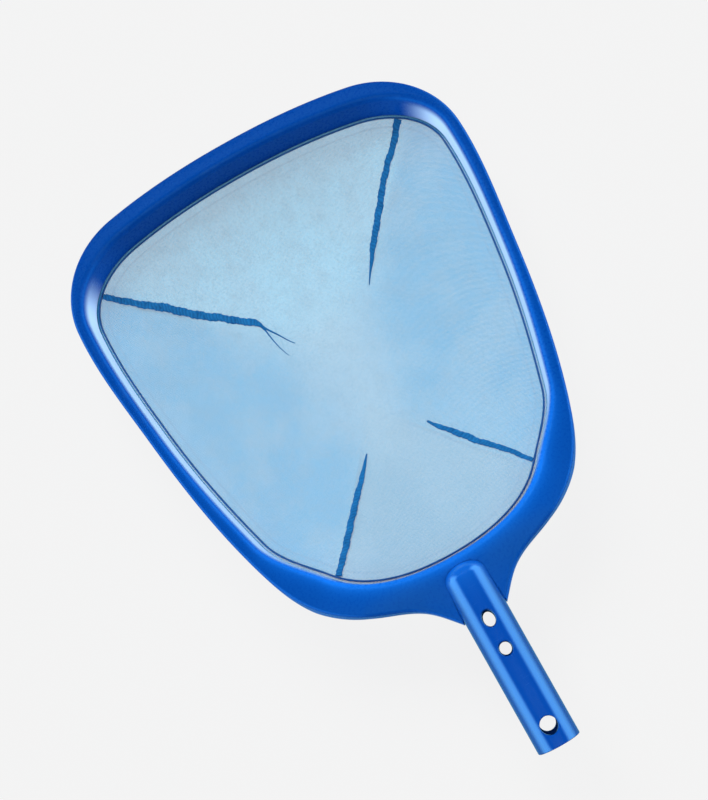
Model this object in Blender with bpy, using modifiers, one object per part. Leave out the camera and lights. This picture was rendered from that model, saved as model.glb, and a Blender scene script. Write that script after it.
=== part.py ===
"""Leaf skimmer head: a moulded shield-shaped frame with a clamped mesh bag and a pole socket.

The frame is a hollow upper shell closed from below by a flat cover.  The two halves clamp the
handle tube in the yoke and the net's hem in the channel of the rim, and self-tapping screws
hold them together.  +Z is up, out of the bag; the blade edge faces +Y and the handle runs to
-Y.  The origin is the centre of the bounding box at the lowest point of the bag.
"""

import math

import bmesh
import bpy
import numpy as np
from mathutils import Vector

# Overall sizes of the head (metres).
OVERALL_LENGTH = 0.451
HEAD_WIDTH = 0.304
HEAD_LENGTH = 0.331
YOKE_LENGTH = 0.0378

# Rim section.
RIM_HEIGHT = 0.024
RIM_WALL = 0.0016
RIM_DRAFT = 0.0010
RIM_FLARE = 0.0022
YOKE_FLARE = 0.0004
INNER_FILLET = 0.0044
OUTER_FILLET = 0.0028
BLADE_BAND = 0.0165
CORNER_BAND = 0.0090
SIDE_BAND = 0.0077
LOW_SIDE_BAND = 0.0098
SHOULDER_BAND = 0.0200
BLADE_DROP = 0.0012
YOKE_DROP = 0.0060
COVER_THICKNESS = 0.0024
CLEARANCE = 0.0003

# Handle tube.
TUBE_RADIUS = 0.0140
TUBE_END_RADIUS = 0.0133
TUBE_WALL = 0.0026
TUBE_SINK = 0.0060
TUBE_DOME = 0.0090
DOME_SETBACK = 0.0055
TUBE_STEPS = 32
SLOT_WIDTH = 0.0072
SLOT_LENGTH = 0.0094
LOCK_HOLE = 0.0074
HANG_HOLE = 0.0102
SLOT_FROM_END = 0.0778
LOCK_FROM_END = 0.0588
HANG_FROM_END = 0.0122

# Cradle under the tube, part of the cover.
CRADLE_HALF_WIDTH = 0.0100
CRADLE_HEIGHT = 0.0070

# Screws and their bosses.
SCREW_PAIRS = 7
SCREW_RADIUS = 0.0012
SCREW_HEAD_RADIUS = 0.0023
SCREW_HEAD_HEIGHT = 0.0013
SCREW_LENGTH = 0.0085
SCREW_STEPS = 12
# Stations between the last screw and the nose, and the steps that measure the rim's length.
SCREWLESS_STATIONS = 2.35
WALK_STEPS = 400
BOSS_RADIUS = 0.0026
BOSS_HEIGHT = 0.0085
BOSS_OVERLAP = 0.0004
BOSS_SIDES = 14
PILOT_SIDES = 12
CROSS_HOLE_SIDES = 20

# Net, its hem and the tapes sewn over its darts.
NET_DEPTH = 0.042
NET_THICKNESS = 0.0008
NET_FLAT_LEDGE = 0.0026
HEM_CORD_RADIUS = 0.0010
BINDING_RADIUS = 0.0010
TAPE_WIDTH = 0.0060
TAPE_THICKNESS = 0.0009
DART_STATIONS = {"far": 1.5, "near": 5.125}
DART_INNER_SHARE = {"far": 0.36, "near": 0.36}
TAPE_START_SHARE = 0.985
TAPE_GAP = 0.0004
# The floor's short hub line, from each dart's corner towards the middle of the bag.
HUB_FROM_CORNER = {"far": 0.117, "near": 0.104}
# Rows of the mesh between the rim (1) and the hub (0).
NET_ROWS = (1.0, 0.88, 0.74, 0.58, 0.42, 0.26)

# Levels and places that follow from the sizes above.
Z_HEM = NET_DEPTH + NET_THICKNESS / 2
Z_COVER_TOP = Z_HEM - NET_THICKNESS / 2 - CLEARANCE
Z_UNDER = Z_COVER_TOP - COVER_THICKNESS
Z_CREST = Z_UNDER + RIM_HEIGHT
Z_FOOT = Z_HEM + NET_THICKNESS / 2 + CLEARANCE
Z_SHELL_BOTTOM = Z_COVER_TOP + CLEARANCE
Z_TUBE = Z_CREST - TUBE_SINK
Y_FAR = OVERALL_LENGTH / 2
Y_END = -OVERALL_LENGTH / 2
Y_NEAR = Y_FAR - HEAD_LENGTH
Y_YOKE = Y_NEAR - YOKE_LENGTH
Y_DOME = Y_NEAR - DOME_SETBACK
HALF_WIDTH = HEAD_WIDTH / 2 - RIM_FLARE
HEM_REACH = RIM_WALL - RIM_DRAFT + CLEARANCE + 2 * HEM_CORD_RADIUS

# Outer edge of the rim at crest height, right half, from the blade's middle to the yoke:
# share of the half width, share of the head length from the blade, heading in degrees.
OUTER_KNOTS = (
    (0.000, 0.000, 0.0),
    (0.643, 0.0290, -12.5),
    (1.000, 0.2280, -90.0),
    (0.915, 0.5200, -100.0),
    (0.765, 0.8100, -108.0),
    (0.608, 0.9585, -130.0),
)
BANDS = (BLADE_BAND, BLADE_BAND, CORNER_BAND, SIDE_BAND, LOW_SIDE_BAND, SHOULDER_BAND)
SHOULDER_X, SHOULDER_DROP = 0.064, 0.0068
NECK_X, NECK_DROP = 0.0335, 0.0198
NOSE_SETBACK = 0.0085
# The opening's heading where it leaves the side, and its shares of the near arc at each knot.
OPENING_SHOULDER_HEADING = -131.0
NEAR_ARC_SHARES = (0.0, 0.30, 0.62, 0.86, 1.0)
SEGMENT_STEPS = (5, 10, 4, 4, 6, 4, 4, 4, 3)
LAST_U = len(SEGMENT_STEPS)


def fresh_scene():
    """Empty the scene and make the collections for the parts and for the cutters."""
    for old in list(bpy.data.objects):
        bpy.data.objects.remove(old, do_unlink=True)
    parts = bpy.data.collections.new("leaf_skimmer")
    cutters = bpy.data.collections.new("cutters")
    for collection in (parts, cutters):
        bpy.context.scene.collection.children.link(collection)
    return parts, cutters


def plastic(name, colour, roughness, metallic=0.0):
    """A plain Principled material."""
    material = bpy.data.materials.new(name)
    material.use_nodes = True
    shader = material.node_tree.nodes["Principled BSDF"]
    shader.inputs["Base Color"].default_value = (*colour, 1.0)
    shader.inputs["Roughness"].default_value = roughness
    shader.inputs["Metallic"].default_value = metallic
    return material


def add_object(name, bm, collection, material=None, smooth_angle=math.radians(35)):
    """Turn a bmesh into a shaded object of the collection."""
    mesh = bpy.data.meshes.new(name)
    bm.to_mesh(mesh)
    bm.free()
    mesh.shade_smooth()
    mesh.set_sharp_from_angle(angle=smooth_angle)
    made = bpy.data.objects.new(name, mesh)
    if material:
        made.data.materials.append(material)
    collection.objects.link(made)
    return made


def add_cutter(name, bm, collection):
    """A helper body for a Boolean, kept out of the model."""
    made = add_object(name, bm, collection)
    made.hide_render = True
    made.display_type = "WIRE"
    return made


def boolean(target, tool, operation):
    """Join a tool to the target or cut it away."""
    step = target.modifiers.new(f"{operation.lower()}_{tool.name}", "BOOLEAN")
    step.operation = operation
    step.object = tool
    step.solver = "EXACT"


# ---- outlines -------------------------------------------------------------------------------


def heading_vector(degrees):
    return np.array((math.cos(math.radians(degrees)), math.sin(math.radians(degrees))))


def arc_segment(start, start_heading, end, end_heading, t):
    """A cubic Bezier between two points with given headings, as round as an arc can be."""
    chord = np.linalg.norm(end - start)
    turn = max(abs(math.radians(end_heading - start_heading)), 0.02)
    reach = chord * (2 / 3) * math.tan(turn / 4) / math.sin(turn / 2)
    a = start + heading_vector(start_heading) * reach
    b = end - heading_vector(end_heading) * reach
    s = 1 - t
    return s**3 * start + 3 * s * s * t * a + 3 * s * t * t * b + t**3 * end


def outer_knots():
    """The outer edge's knots: (point, heading)."""
    knots = [
        (np.array((x * HALF_WIDTH, Y_FAR - y * HEAD_LENGTH)), heading)
        for x, y, heading in OUTER_KNOTS
    ]
    knots.append((np.array((SHOULDER_X, Y_NEAR - SHOULDER_DROP)), -155.0))
    knots.append((np.array((NECK_X, Y_NEAR - NECK_DROP)), -148.0))
    knots.append((np.array((TUBE_RADIUS + RIM_WALL / 2, Y_YOKE)), -133.0))
    return knots


def opening_knots():
    """The opening's knots, each a rim band inside the outer edge's, as far as the near arc."""
    knots = []
    for (point, heading), band in zip(outer_knots(), BANDS):
        inward = heading_vector(heading - 90)
        knots.append((point + inward * band, heading))
    knots[-1] = (knots[-1][0], OPENING_SHOULDER_HEADING)
    return knots


def outer_edge(u):
    """Outer edge at crest height for station u, from 0 at the blade to LAST_U at the nose."""
    knots = outer_knots()
    index = min(int(u), LAST_U - 1)
    t = u - index
    if index == LAST_U - 1:
        start = knots[-1][0]
        nose = np.array((0.0, Y_YOKE + NOSE_SETBACK))
        swing = math.sin(t * math.pi / 2)
        return np.array((start[0] * (1 - t), start[1] + (nose[1] - start[1]) * swing))
    start, end = knots[index], knots[index + 1]
    return arc_segment(start[0], start[1], end[0], end[1], t)


def opening_edge(u):
    """Inner face of the rim at crest height for station u."""
    knots = opening_knots()
    index = min(int(u), LAST_U - 1)
    t = u - index
    first_near = len(knots) - 1
    if index >= first_near:
        step = index - first_near
        share = NEAR_ARC_SHARES[step] + t * (NEAR_ARC_SHARES[step + 1] - NEAR_ARC_SHARES[step])
        near = np.array((0.0, Y_NEAR))
        return arc_segment(knots[-1][0], knots[-1][1], near, -180.0, share)
    start, end = knots[index], knots[index + 1]
    return arc_segment(start[0], start[1], end[0], end[1], t)


def stations():
    """Station values round the whole rim: +u on the right half, then the left half mirrored."""
    right = [i + k / steps for i, steps in enumerate(SEGMENT_STEPS) for k in range(steps)]
    right.append(float(LAST_U))
    return [(u, 1) for u in right] + [(u, -1) for u in reversed(right[1:-1])]


def mirrored(point, side):
    return np.array((point[0] * side, point[1]))


def opening_normal(u):
    """Unit vector in plan at the opening's edge, pointing outwards."""
    step = 1e-3
    ahead = opening_edge(min(u + step, LAST_U)) - opening_edge(max(u - step, 0.0))
    normal = np.array((-ahead[1], ahead[0]))
    return normal / np.linalg.norm(normal)


def outer_normal(u):
    """Unit vector in plan at the outer edge, pointing inwards."""
    step = 1e-3
    ahead = outer_edge(min(u + step, LAST_U)) - outer_edge(max(u - step, 0.0))
    normal = np.array((ahead[1], -ahead[0]))
    return normal / np.linalg.norm(normal)


def top_drop(u):
    """How far the rim's outer top edge lies below the crest."""
    blade = BLADE_DROP * max(0.0, 1 - u / 2) ** 0.5
    yoke_share = max(0.0, (u - LAST_U + 3) / 2)
    return blade + YOKE_DROP * min(1.0, yoke_share)


def outer_flare(u):
    """How far the outer wall leans out at its foot: upright at the blade, least at the yoke."""
    at = (0, 1, 2, LAST_U - 4, LAST_U - 3)
    flares = (0, 0, RIM_FLARE, RIM_FLARE, YOKE_FLARE)
    return float(np.interp(u, at, flares))


def arc_points(centre, radius, start, end, count):
    """Points of an arc from start to end degrees, both included."""
    return [
        (
            centre[0] + radius * math.cos(math.radians(start + (end - start) * k / (count - 1))),
            centre[1] + radius * math.sin(math.radians(start + (end - start) * k / (count - 1))),
        )
        for k in range(count)
    ]


def shell_section(width, drop, flare):
    """The upper shell's closed section: across the band, height.  An upside-down channel."""
    inner_centre = (INNER_FILLET, Z_CREST - INNER_FILLET)
    outer_centre = (width - OUTER_FILLET, Z_CREST - drop - OUTER_FILLET)
    skin = [(-RIM_DRAFT, Z_FOOT)]
    skin += arc_points(inner_centre, INNER_FILLET, 180, 90, 4)
    skin += arc_points(outer_centre, OUTER_FILLET, 90, 0, 3)
    skin.append((width + flare, Z_SHELL_BOTTOM))
    hollow = [(width + flare - RIM_WALL, Z_SHELL_BOTTOM)]
    hollow += arc_points(outer_centre, OUTER_FILLET - RIM_WALL, 0, 90, 2)
    hollow += arc_points(inner_centre, INNER_FILLET - RIM_WALL, 90, 180, 3)
    hollow.append((-RIM_DRAFT + RIM_WALL, Z_FOOT))
    return skin + hollow


def cover_section(width, _drop, flare):
    """The cover's closed section: a flat strip under the whole rim."""
    inner = -RIM_DRAFT
    outer = width + flare
    return [
        (inner, Z_UNDER),
        (inner, Z_COVER_TOP),
        (outer, Z_COVER_TOP),
        (outer, Z_UNDER),
    ]


def rim_loft(section):
    """Carry a section round the rim, stretched between the opening and the outer edge."""
    bm = bmesh.new()
    rings = []
    for u, side in stations():
        inner = opening_edge(u)
        outer = outer_edge(u)
        across = outer - inner
        width = np.linalg.norm(across)
        across = across / width
        ring = []
        for w, z in section(width, top_drop(u), outer_flare(u)):
            plan = mirrored(inner + across * w, side)
            ring.append(bm.verts.new((plan[0], plan[1], z)))
        rings.append(ring)
    stitch(bm, rings, close_rings=True, close_loop=True)
    bmesh.ops.recalc_face_normals(bm, faces=bm.faces)
    return bm


def stitch(bm, rings, close_rings, close_loop):
    """Faces between neighbouring rows of vertices."""
    last = len(rings) if close_loop else len(rings) - 1
    for i in range(last):
        a = rings[i]
        b = rings[(i + 1) % len(rings)]
        count = len(a) if close_rings else len(a) - 1
        for k in range(count):
            n = (k + 1) % len(a)
            bm.faces.new((a[k], b[k], b[n], a[n]))


# ---- fasteners ------------------------------------------------------------------------------


def screw_places():
    """Plan positions of the screws, evenly spaced along the rim from the blade's middle."""
    fine = np.linspace(0.0, LAST_U - SCREWLESS_STATIONS, WALK_STEPS)
    line = np.array([outer_edge(u) for u in fine])
    walked = np.concatenate(([0.0], np.cumsum(np.linalg.norm(np.diff(line, axis=0), axis=1))))
    inset = RIM_WALL + BOSS_RADIUS - BOSS_OVERLAP
    places = []
    for k in range(SCREW_PAIRS + 1):
        u = float(np.interp(walked[-1] * k / SCREW_PAIRS, walked, fine))
        centre = outer_edge(u) + outer_normal(u) * (inset - outer_flare(u))
        for side in (1, -1) if k else (1,):
            places.append(mirrored(centre, side))
    return places


def turned(name, profile, steps, collection, material=None):
    """A turned body: a profile from axis to axis in the XZ plane, spun by a Screw modifier."""
    bm = bmesh.new()
    verts = [bm.verts.new((x, 0.0, z)) for x, z in profile]
    for a, b in zip(verts, verts[1:]):
        bm.edges.new((a, b))
    made = add_object(name, bm, collection, material)
    spin = made.modifiers.new("turn", "SCREW")
    spin.axis = "Z"
    spin.angle = math.tau
    spin.steps = steps
    spin.render_steps = steps
    spin.use_merge_vertices = True
    spin.merge_threshold = 1e-5
    spin.use_smooth_shade = True
    return made


def screw_profile():
    """Pan head at the bottom, shank and point upwards, top to bottom along its outside."""
    head = SCREW_HEAD_RADIUS
    edge = SCREW_HEAD_HEIGHT * 0.35
    return [
        (0.0, SCREW_LENGTH),
        (SCREW_RADIUS * 0.7, SCREW_LENGTH - SCREW_RADIUS),
        (SCREW_RADIUS, SCREW_LENGTH - 2.4 * SCREW_RADIUS),
        (SCREW_RADIUS, SCREW_HEAD_HEIGHT),
        (head, SCREW_HEAD_HEIGHT),
        (head, edge),
        (head - edge, 0.0),
        (0.0, 0.0),
    ]


def add_screws(collection, material):
    """One self-tapping screw at each place, its head sunk in the cover."""
    first = None
    for number, place in enumerate(screw_places(), start=1):
        name = f"cover_screw_{number:02d}"
        if first is None:
            first = turned(name, screw_profile(), SCREW_STEPS, collection, material)
            made = first
        else:
            made = first.copy()
            made.name = name
            collection.objects.link(made)
        made.location = (place[0], place[1], Z_UNDER + CLEARANCE)


def cylinder_bodies(radius, low, high, segments):
    """Upright cylinders at every screw place, as one bmesh."""
    bm = bmesh.new()
    for place in screw_places():
        made = bmesh.ops.create_cone(
            bm,
            cap_ends=True,
            segments=segments,
            radius1=radius,
            radius2=radius,
            depth=high - low,
        )
        bmesh.ops.translate(
            bm, verts=made["verts"], vec=Vector((place[0], place[1], (low + high) / 2))
        )
    return bm


# ---- handle tube ----------------------------------------------------------------------------


def dome_profile(radius, dome, top, count=6):
    """Quarter-ellipse points from the tip at the axis to the full radius."""
    return [
        (
            radius * math.sin(math.pi / 2 * k / count),
            top - dome * (1 - math.cos(math.pi / 2 * k / count)),
        )
        for k in range(count + 1)
    ]


def lay_along_handle(made):
    """Turn a body made along +Z so that its top is the dome end, pointing to +Y."""
    made.rotation_euler = (math.radians(-90), 0.0, 0.0)
    made.location = (0.0, Y_END, Z_TUBE)


def add_handle(parts, cutters, material):
    """The socket tube: domed at the yoke, open at the pole end, with three cross holes."""
    length = Y_DOME - Y_END
    bore_length = length - TUBE_WALL
    outside = dome_profile(TUBE_RADIUS, TUBE_DOME, length)
    inside = dome_profile(TUBE_RADIUS - TUBE_WALL, TUBE_DOME - TUBE_WALL, bore_length)
    profile = outside
    profile.append((TUBE_END_RADIUS, 0.0))
    profile.append((TUBE_END_RADIUS - TUBE_WALL, 0.0))
    profile += list(reversed(inside))
    tube = turned("handle_tube", profile, TUBE_STEPS, parts, material)
    lay_along_handle(tube)
    bm = bmesh.new()
    hole_depth = 4 * TUBE_RADIUS
    for width, run, from_end in (
        (SLOT_WIDTH, SLOT_LENGTH, SLOT_FROM_END),
        (LOCK_HOLE, LOCK_HOLE, LOCK_FROM_END),
        (HANG_HOLE, HANG_HOLE, HANG_FROM_END),
    ):
        made = bmesh.ops.create_cone(
            bm,
            cap_ends=True,
            segments=CROSS_HOLE_SIDES,
            radius1=0.5,
            radius2=0.5,
            depth=1.0,
        )
        bmesh.ops.scale(bm, verts=made["verts"], vec=Vector((width, run, hole_depth)))
        bmesh.ops.translate(bm, verts=made["verts"], vec=Vector((0, Y_END + from_end, Z_TUBE)))
    holes = add_cutter("cross_holes", bm, cutters)
    boolean(tube, holes, "DIFFERENCE")
    return tube


def add_tube_cutter(cutters):
    """The tube's outside with its clearance, to cut its seat."""
    length = Y_DOME - Y_END + CLEARANCE
    profile = dome_profile(TUBE_RADIUS + CLEARANCE, TUBE_DOME, length)
    profile.append((TUBE_END_RADIUS + CLEARANCE, 0.0))
    profile.append((0.0, 0.0))
    cutter = turned("tube_seat", profile, TUBE_STEPS, cutters)
    cutter.hide_render = True
    cutter.display_type = "WIRE"
    lay_along_handle(cutter)
    return cutter


# ---- frame halves ---------------------------------------------------------------------------


def add_shell(parts, cutters, tube_seat, material):
    """The upper shell with its screw bosses and the seat for the tube."""
    shell = add_object("frame_shell", rim_loft(shell_section), parts, material)
    boss_top = Z_SHELL_BOTTOM + BOSS_HEIGHT
    bosses = add_cutter(
        "shell_bosses",
        cylinder_bodies(BOSS_RADIUS, Z_SHELL_BOTTOM, boss_top, BOSS_SIDES),
        cutters,
    )
    pilot_top = Z_UNDER + SCREW_LENGTH + 3 * CLEARANCE
    pilots = add_cutter(
        "pilot_holes",
        cylinder_bodies(SCREW_RADIUS + CLEARANCE, Z_UNDER, pilot_top, PILOT_SIDES),
        cutters,
    )
    boolean(shell, bosses, "UNION")
    boolean(shell, pilots, "DIFFERENCE")
    boolean(shell, tube_seat, "DIFFERENCE")
    return shell


def add_cover(parts, cutters, tube_seat, material):
    """The flat cover with its cradle for the tube and its counterbored screw holes."""
    cover = add_object("frame_cover", rim_loft(cover_section), parts, material)
    bm = bmesh.new()
    bmesh.ops.create_cube(bm, size=1.0)
    low = Y_YOKE + NOSE_SETBACK + RIM_WALL + 3 * CLEARANCE
    high = Y_NEAR - HEM_REACH - 2 * CLEARANCE
    block = Vector((2 * CRADLE_HALF_WIDTH, high - low, CRADLE_HEIGHT))
    bmesh.ops.scale(bm, verts=bm.verts, vec=block)
    middle = Vector((0, (low + high) / 2, Z_UNDER + CLEARANCE + CRADLE_HEIGHT / 2))
    bmesh.ops.translate(bm, verts=bm.verts, vec=middle)
    cradle = add_cutter("tube_cradle", bm, cutters)
    through = add_cutter(
        "cover_holes",
        cylinder_bodies(
            SCREW_RADIUS + CLEARANCE,
            Z_UNDER - CLEARANCE,
            Z_COVER_TOP + CLEARANCE,
            PILOT_SIDES,
        ),
        cutters,
    )
    sink_depth = SCREW_HEAD_HEIGHT + 2 * CLEARANCE
    sinks = add_cutter(
        "head_sinks",
        cylinder_bodies(
            SCREW_HEAD_RADIUS + CLEARANCE,
            Z_UNDER - CLEARANCE,
            Z_UNDER + sink_depth,
            BOSS_SIDES,
        ),
        cutters,
    )
    boolean(cover, cradle, "UNION")
    boolean(cover, tube_seat, "DIFFERENCE")
    boolean(cover, through, "DIFFERENCE")
    boolean(cover, sinks, "DIFFERENCE")
    return cover


# ---- net and its sewn parts -----------------------------------------------------------------


def hub(u):
    """Middle of the bag's floor that station u hangs towards, a short line along the bag."""
    far_y = opening_edge(DART_STATIONS["far"])[1] - HUB_FROM_CORNER["far"]
    near_y = opening_edge(DART_STATIONS["near"])[1] + HUB_FROM_CORNER["near"]
    share = (u - DART_STATIONS["far"]) / (DART_STATIONS["near"] - DART_STATIONS["far"])
    share = min(1.0, max(0.0, share))
    return np.array((0.0, far_y + (near_y - far_y) * share))


def sag_share(r):
    """Share of the bag's depth at r: a parabola, straight between the mesh's rows."""
    rows = NET_ROWS + (0.0,)
    sags = [(1 - row) * (1 + row) for row in rows]
    return float(np.interp(-r, [-row for row in rows], sags))


def net_point(u, r):
    """Middle of the mesh at station u; r is 1 at the ledge under the rim and 0 at the hub."""
    edge = opening_edge(u) - opening_normal(u) * (RIM_DRAFT + NET_FLAT_LEDGE)
    plan = hub(u) + (edge - hub(u)) * r
    return np.array((plan[0], plan[1], Z_HEM - NET_DEPTH * sag_share(r)))


def hem_point(u, outwards):
    """A point of the flat hem in the rim's channel."""
    plan = opening_edge(u) + opening_normal(u) * outwards
    return np.array((plan[0], plan[1], Z_HEM))


def add_net(parts, material):
    """The shallow bag: its hem lies flat in the channel and the mesh hangs to the floor."""
    bm = bmesh.new()
    rings = []
    for u, side in stations():
        rows = [hem_point(u, HEM_REACH)]
        rows += [net_point(u, r) for r in NET_ROWS]
        rings.append([bm.verts.new((p[0] * side, p[1], p[2])) for p in rows])
    stitch(bm, rings, close_rings=False, close_loop=True)
    floor = [bm.verts.new((*hub(0.0), Z_HEM - NET_DEPTH))]
    floor.append(bm.verts.new((*hub(LAST_U), Z_HEM - NET_DEPTH)))
    inner = [ring[-1] for ring in rings]
    close_floor(bm, inner, floor)
    bmesh.ops.recalc_face_normals(bm, faces=bm.faces)
    net = add_object("net_bag", bm, parts, material, math.radians(80))
    wall = net.modifiers.new("mesh_thickness", "SOLIDIFY")
    wall.thickness = NET_THICKNESS
    wall.offset = 0.0
    return net


def close_floor(bm, ring, floor):
    """Triangles from the innermost ring to the floor's two hub points."""
    middle_y = (floor[0].co.y + floor[1].co.y) / 2
    count = len(ring)
    owner = [floor[0] if v.co.y > middle_y else floor[1] for v in ring]
    for k in range(count):
        n = (k + 1) % count
        bm.faces.new((ring[k], ring[n], owner[n]))
        if owner[k] is not owner[n]:
            bm.faces.new((ring[k], owner[n], owner[k]))


def closed_bead(name, points, radius, parts, material):
    """A closed round cord along the points."""
    curve = bpy.data.curves.new(name, "CURVE")
    curve.dimensions = "3D"
    curve.bevel_depth = radius
    curve.bevel_resolution = 1
    spline = curve.splines.new("POLY")
    spline.points.add(len(points) - 1)
    for target, point in zip(spline.points, points):
        target.co = (*point, 1.0)
    spline.use_cyclic_u = True
    made = bpy.data.objects.new(name, curve)
    made.data.materials.append(material)
    parts.objects.link(made)
    return made


def add_hem_cord(parts, material):
    """The cord that keeps the hem from pulling out of the channel."""
    inset = RIM_WALL - RIM_DRAFT + CLEARANCE + HEM_CORD_RADIUS
    z = Z_HEM + NET_THICKNESS / 2 + CLEARANCE + HEM_CORD_RADIUS
    points = []
    for u, side in stations():
        plan = opening_edge(u) + opening_normal(u) * inset
        points.append((plan[0] * side, plan[1], z))
    return closed_bead("hem_cord", points, HEM_CORD_RADIUS, parts, material)


def add_binding(parts, material):
    """The overlocked edge binding that shows as a line along the foot of the rim."""
    inset = RIM_DRAFT + CLEARANCE + BINDING_RADIUS
    z = Z_HEM + NET_THICKNESS / 2 + CLEARANCE + BINDING_RADIUS
    points = []
    for u, side in stations():
        plan = opening_edge(u) - opening_normal(u) * inset
        points.append((plan[0] * side, plan[1], z))
    return closed_bead("edge_binding", points, BINDING_RADIUS, parts, material)


def tape_row(u, r, half_width):
    """Three points across a tape on the mesh: both edges and the middle."""
    step = 1e-3
    along_edge = np.linalg.norm(net_point(u + step, r) - net_point(u - step, r)) / (2 * step)
    swing = half_width / along_edge
    return [net_point(u + swing, r), net_point(u, r), net_point(u - swing, r)]


def add_tape(name, dart, side, parts, material):
    """A binding tape sewn over a dart of the bag, from the corner towards the floor."""
    u = DART_STATIONS[dart]
    inner_share = DART_INNER_SHARE[dart]
    lift = NET_THICKNESS / 2 + TAPE_GAP + TAPE_THICKNESS / 2
    bm = bmesh.new()
    rows = []
    for r in [TAPE_START_SHARE] + [r for r in NET_ROWS[1:] if r > inner_share] + [inner_share]:
        ahead = net_point(u, r - 0.01) - net_point(u, r + 0.01)
        points = tape_row(u, r, TAPE_WIDTH / 2)
        across = points[0] - points[2]
        normal = np.cross(ahead, across)
        normal = normal / np.linalg.norm(normal) * math.copysign(1.0, normal[2])
        row = [point + normal * lift for point in points]
        rows.append([bm.verts.new((p[0] * side, p[1], p[2])) for p in row])
    stitch(bm, rows, close_rings=False, close_loop=False)
    bmesh.ops.recalc_face_normals(bm, faces=bm.faces)
    tape = add_object(name, bm, parts, material)
    wall = tape.modifiers.new("tape_thickness", "SOLIDIFY")
    wall.thickness = TAPE_THICKNESS
    wall.offset = 0.0
    return tape


def main():
    parts, cutters = fresh_scene()
    blue = plastic("frame_blue", (0.0, 0.062, 0.42), 0.32)
    blue_cover = plastic("cover_blue", (0.0, 0.055, 0.38), 0.40)
    tube_blue = plastic("handle_blue", (0.0, 0.075, 0.50), 0.25)
    mesh_blue = plastic("net_mesh", (0.40, 0.62, 0.80), 0.85)
    tape_blue = plastic("tape_blue", (0.01, 0.12, 0.42), 0.80)
    cord_white = plastic("cord_fibre", (0.75, 0.78, 0.80), 0.85)
    steel = plastic("screw_steel", (0.62, 0.62, 0.63), 0.35, 1.0)

    tube_seat = add_tube_cutter(cutters)
    add_shell(parts, cutters, tube_seat, blue)
    add_cover(parts, cutters, tube_seat, blue_cover)
    add_handle(parts, cutters, tube_blue)
    add_screws(parts, steel)
    add_net(parts, mesh_blue)
    add_hem_cord(parts, cord_white)
    add_binding(parts, tape_blue)
    for dart in DART_STATIONS:
        for side, hand in ((1, "right"), (-1, "left")):
            add_tape(f"dart_tape_{dart}_{hand}", dart, side, parts, tape_blue)


main()
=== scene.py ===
"""Leaf skimmer head: the finished look of a moulded frame, its socket tube and its sewn mesh bag.

The rim is a section carried round the head between two outlines, the opening's and the outer
edge's.  The mesh hangs from the opening towards a short line in the middle of the bag, with
tapes sewn over its four darts.  Metres, +Z up out of the bag, +Y towards the blade edge.
"""

import math

import bmesh
import bpy
import numpy as np
from mathutils import Matrix, Vector


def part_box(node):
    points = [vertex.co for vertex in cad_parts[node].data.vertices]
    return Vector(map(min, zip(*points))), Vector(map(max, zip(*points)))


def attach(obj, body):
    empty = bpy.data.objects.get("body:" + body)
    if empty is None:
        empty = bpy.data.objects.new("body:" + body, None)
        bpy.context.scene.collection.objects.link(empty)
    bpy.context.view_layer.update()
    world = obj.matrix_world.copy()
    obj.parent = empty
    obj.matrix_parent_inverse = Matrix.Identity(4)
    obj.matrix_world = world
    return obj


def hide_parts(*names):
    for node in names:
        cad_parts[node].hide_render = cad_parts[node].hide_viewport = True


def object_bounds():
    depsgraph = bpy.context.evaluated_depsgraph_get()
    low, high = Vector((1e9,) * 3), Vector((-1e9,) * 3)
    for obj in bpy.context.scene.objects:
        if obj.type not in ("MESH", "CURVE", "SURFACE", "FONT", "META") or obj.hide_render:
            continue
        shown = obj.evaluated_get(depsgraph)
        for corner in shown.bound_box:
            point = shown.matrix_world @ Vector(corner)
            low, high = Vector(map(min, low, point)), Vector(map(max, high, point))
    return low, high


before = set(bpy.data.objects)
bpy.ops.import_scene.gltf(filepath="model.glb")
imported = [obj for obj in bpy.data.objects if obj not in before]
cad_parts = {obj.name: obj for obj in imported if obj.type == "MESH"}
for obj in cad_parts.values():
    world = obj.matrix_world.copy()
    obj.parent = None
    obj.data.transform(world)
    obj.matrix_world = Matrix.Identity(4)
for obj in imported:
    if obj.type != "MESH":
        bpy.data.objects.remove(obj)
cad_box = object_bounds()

MERGE_DISTANCE = 2e-6
SLIVER = 1e-7

# ---- sizes ----------------------------------------------------------------------------------

HEAD_LENGTH = 0.331
YOKE_LENGTH = 0.0378
RIM_WALL = 0.0016
RIM_DRAFT = 0.0010
RIM_FLARE = 0.0022
YOKE_FLARE = 0.0004
INNER_FILLET = 0.0044
OUTER_FILLET = 0.0028
BANDS = (0.0165, 0.0165, 0.0090, 0.0077, 0.0098, 0.0200)
BLADE_DROP = 0.0012
YOKE_DROP = 0.0060
BAND_CROWN = 0.00025
EDGE_ROUND = 0.00035
CLEARANCE = 0.0003
SEAT_GAP = 0.00003

TUBE_RADIUS = 0.0140
TUBE_END_RADIUS = 0.0133
TUBE_WALL = 0.0026
TUBE_DOME = 0.0090
DOME_SETBACK = 0.0055
TUBE_LIP = 0.0006
# Width across the tube, run along it, distance from the open end and rounding of the mouth.
CROSS_HOLES = (
    (0.0072, 0.0094, 0.0778, 0.0014),
    (0.0074, 0.0074, 0.0588, 0.0014),
    (0.0102, 0.0102, 0.0122, 0.0006),
)
CRADLE_HALF_WIDTH = 0.0100
CRADLE_HEIGHT = 0.0070

SCREW_PAIRS = 7
SCREWLESS_STATIONS = 2.35
SCREW_RADIUS = 0.0012
SCREW_HEAD_RADIUS = 0.0023
SCREW_HEAD_HEIGHT = 0.0013
SCREW_LENGTH = 0.0085
BOSS_RADIUS = 0.0026
BOSS_HEIGHT = 0.0085
BOSS_OVERLAP = 0.0004

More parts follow.
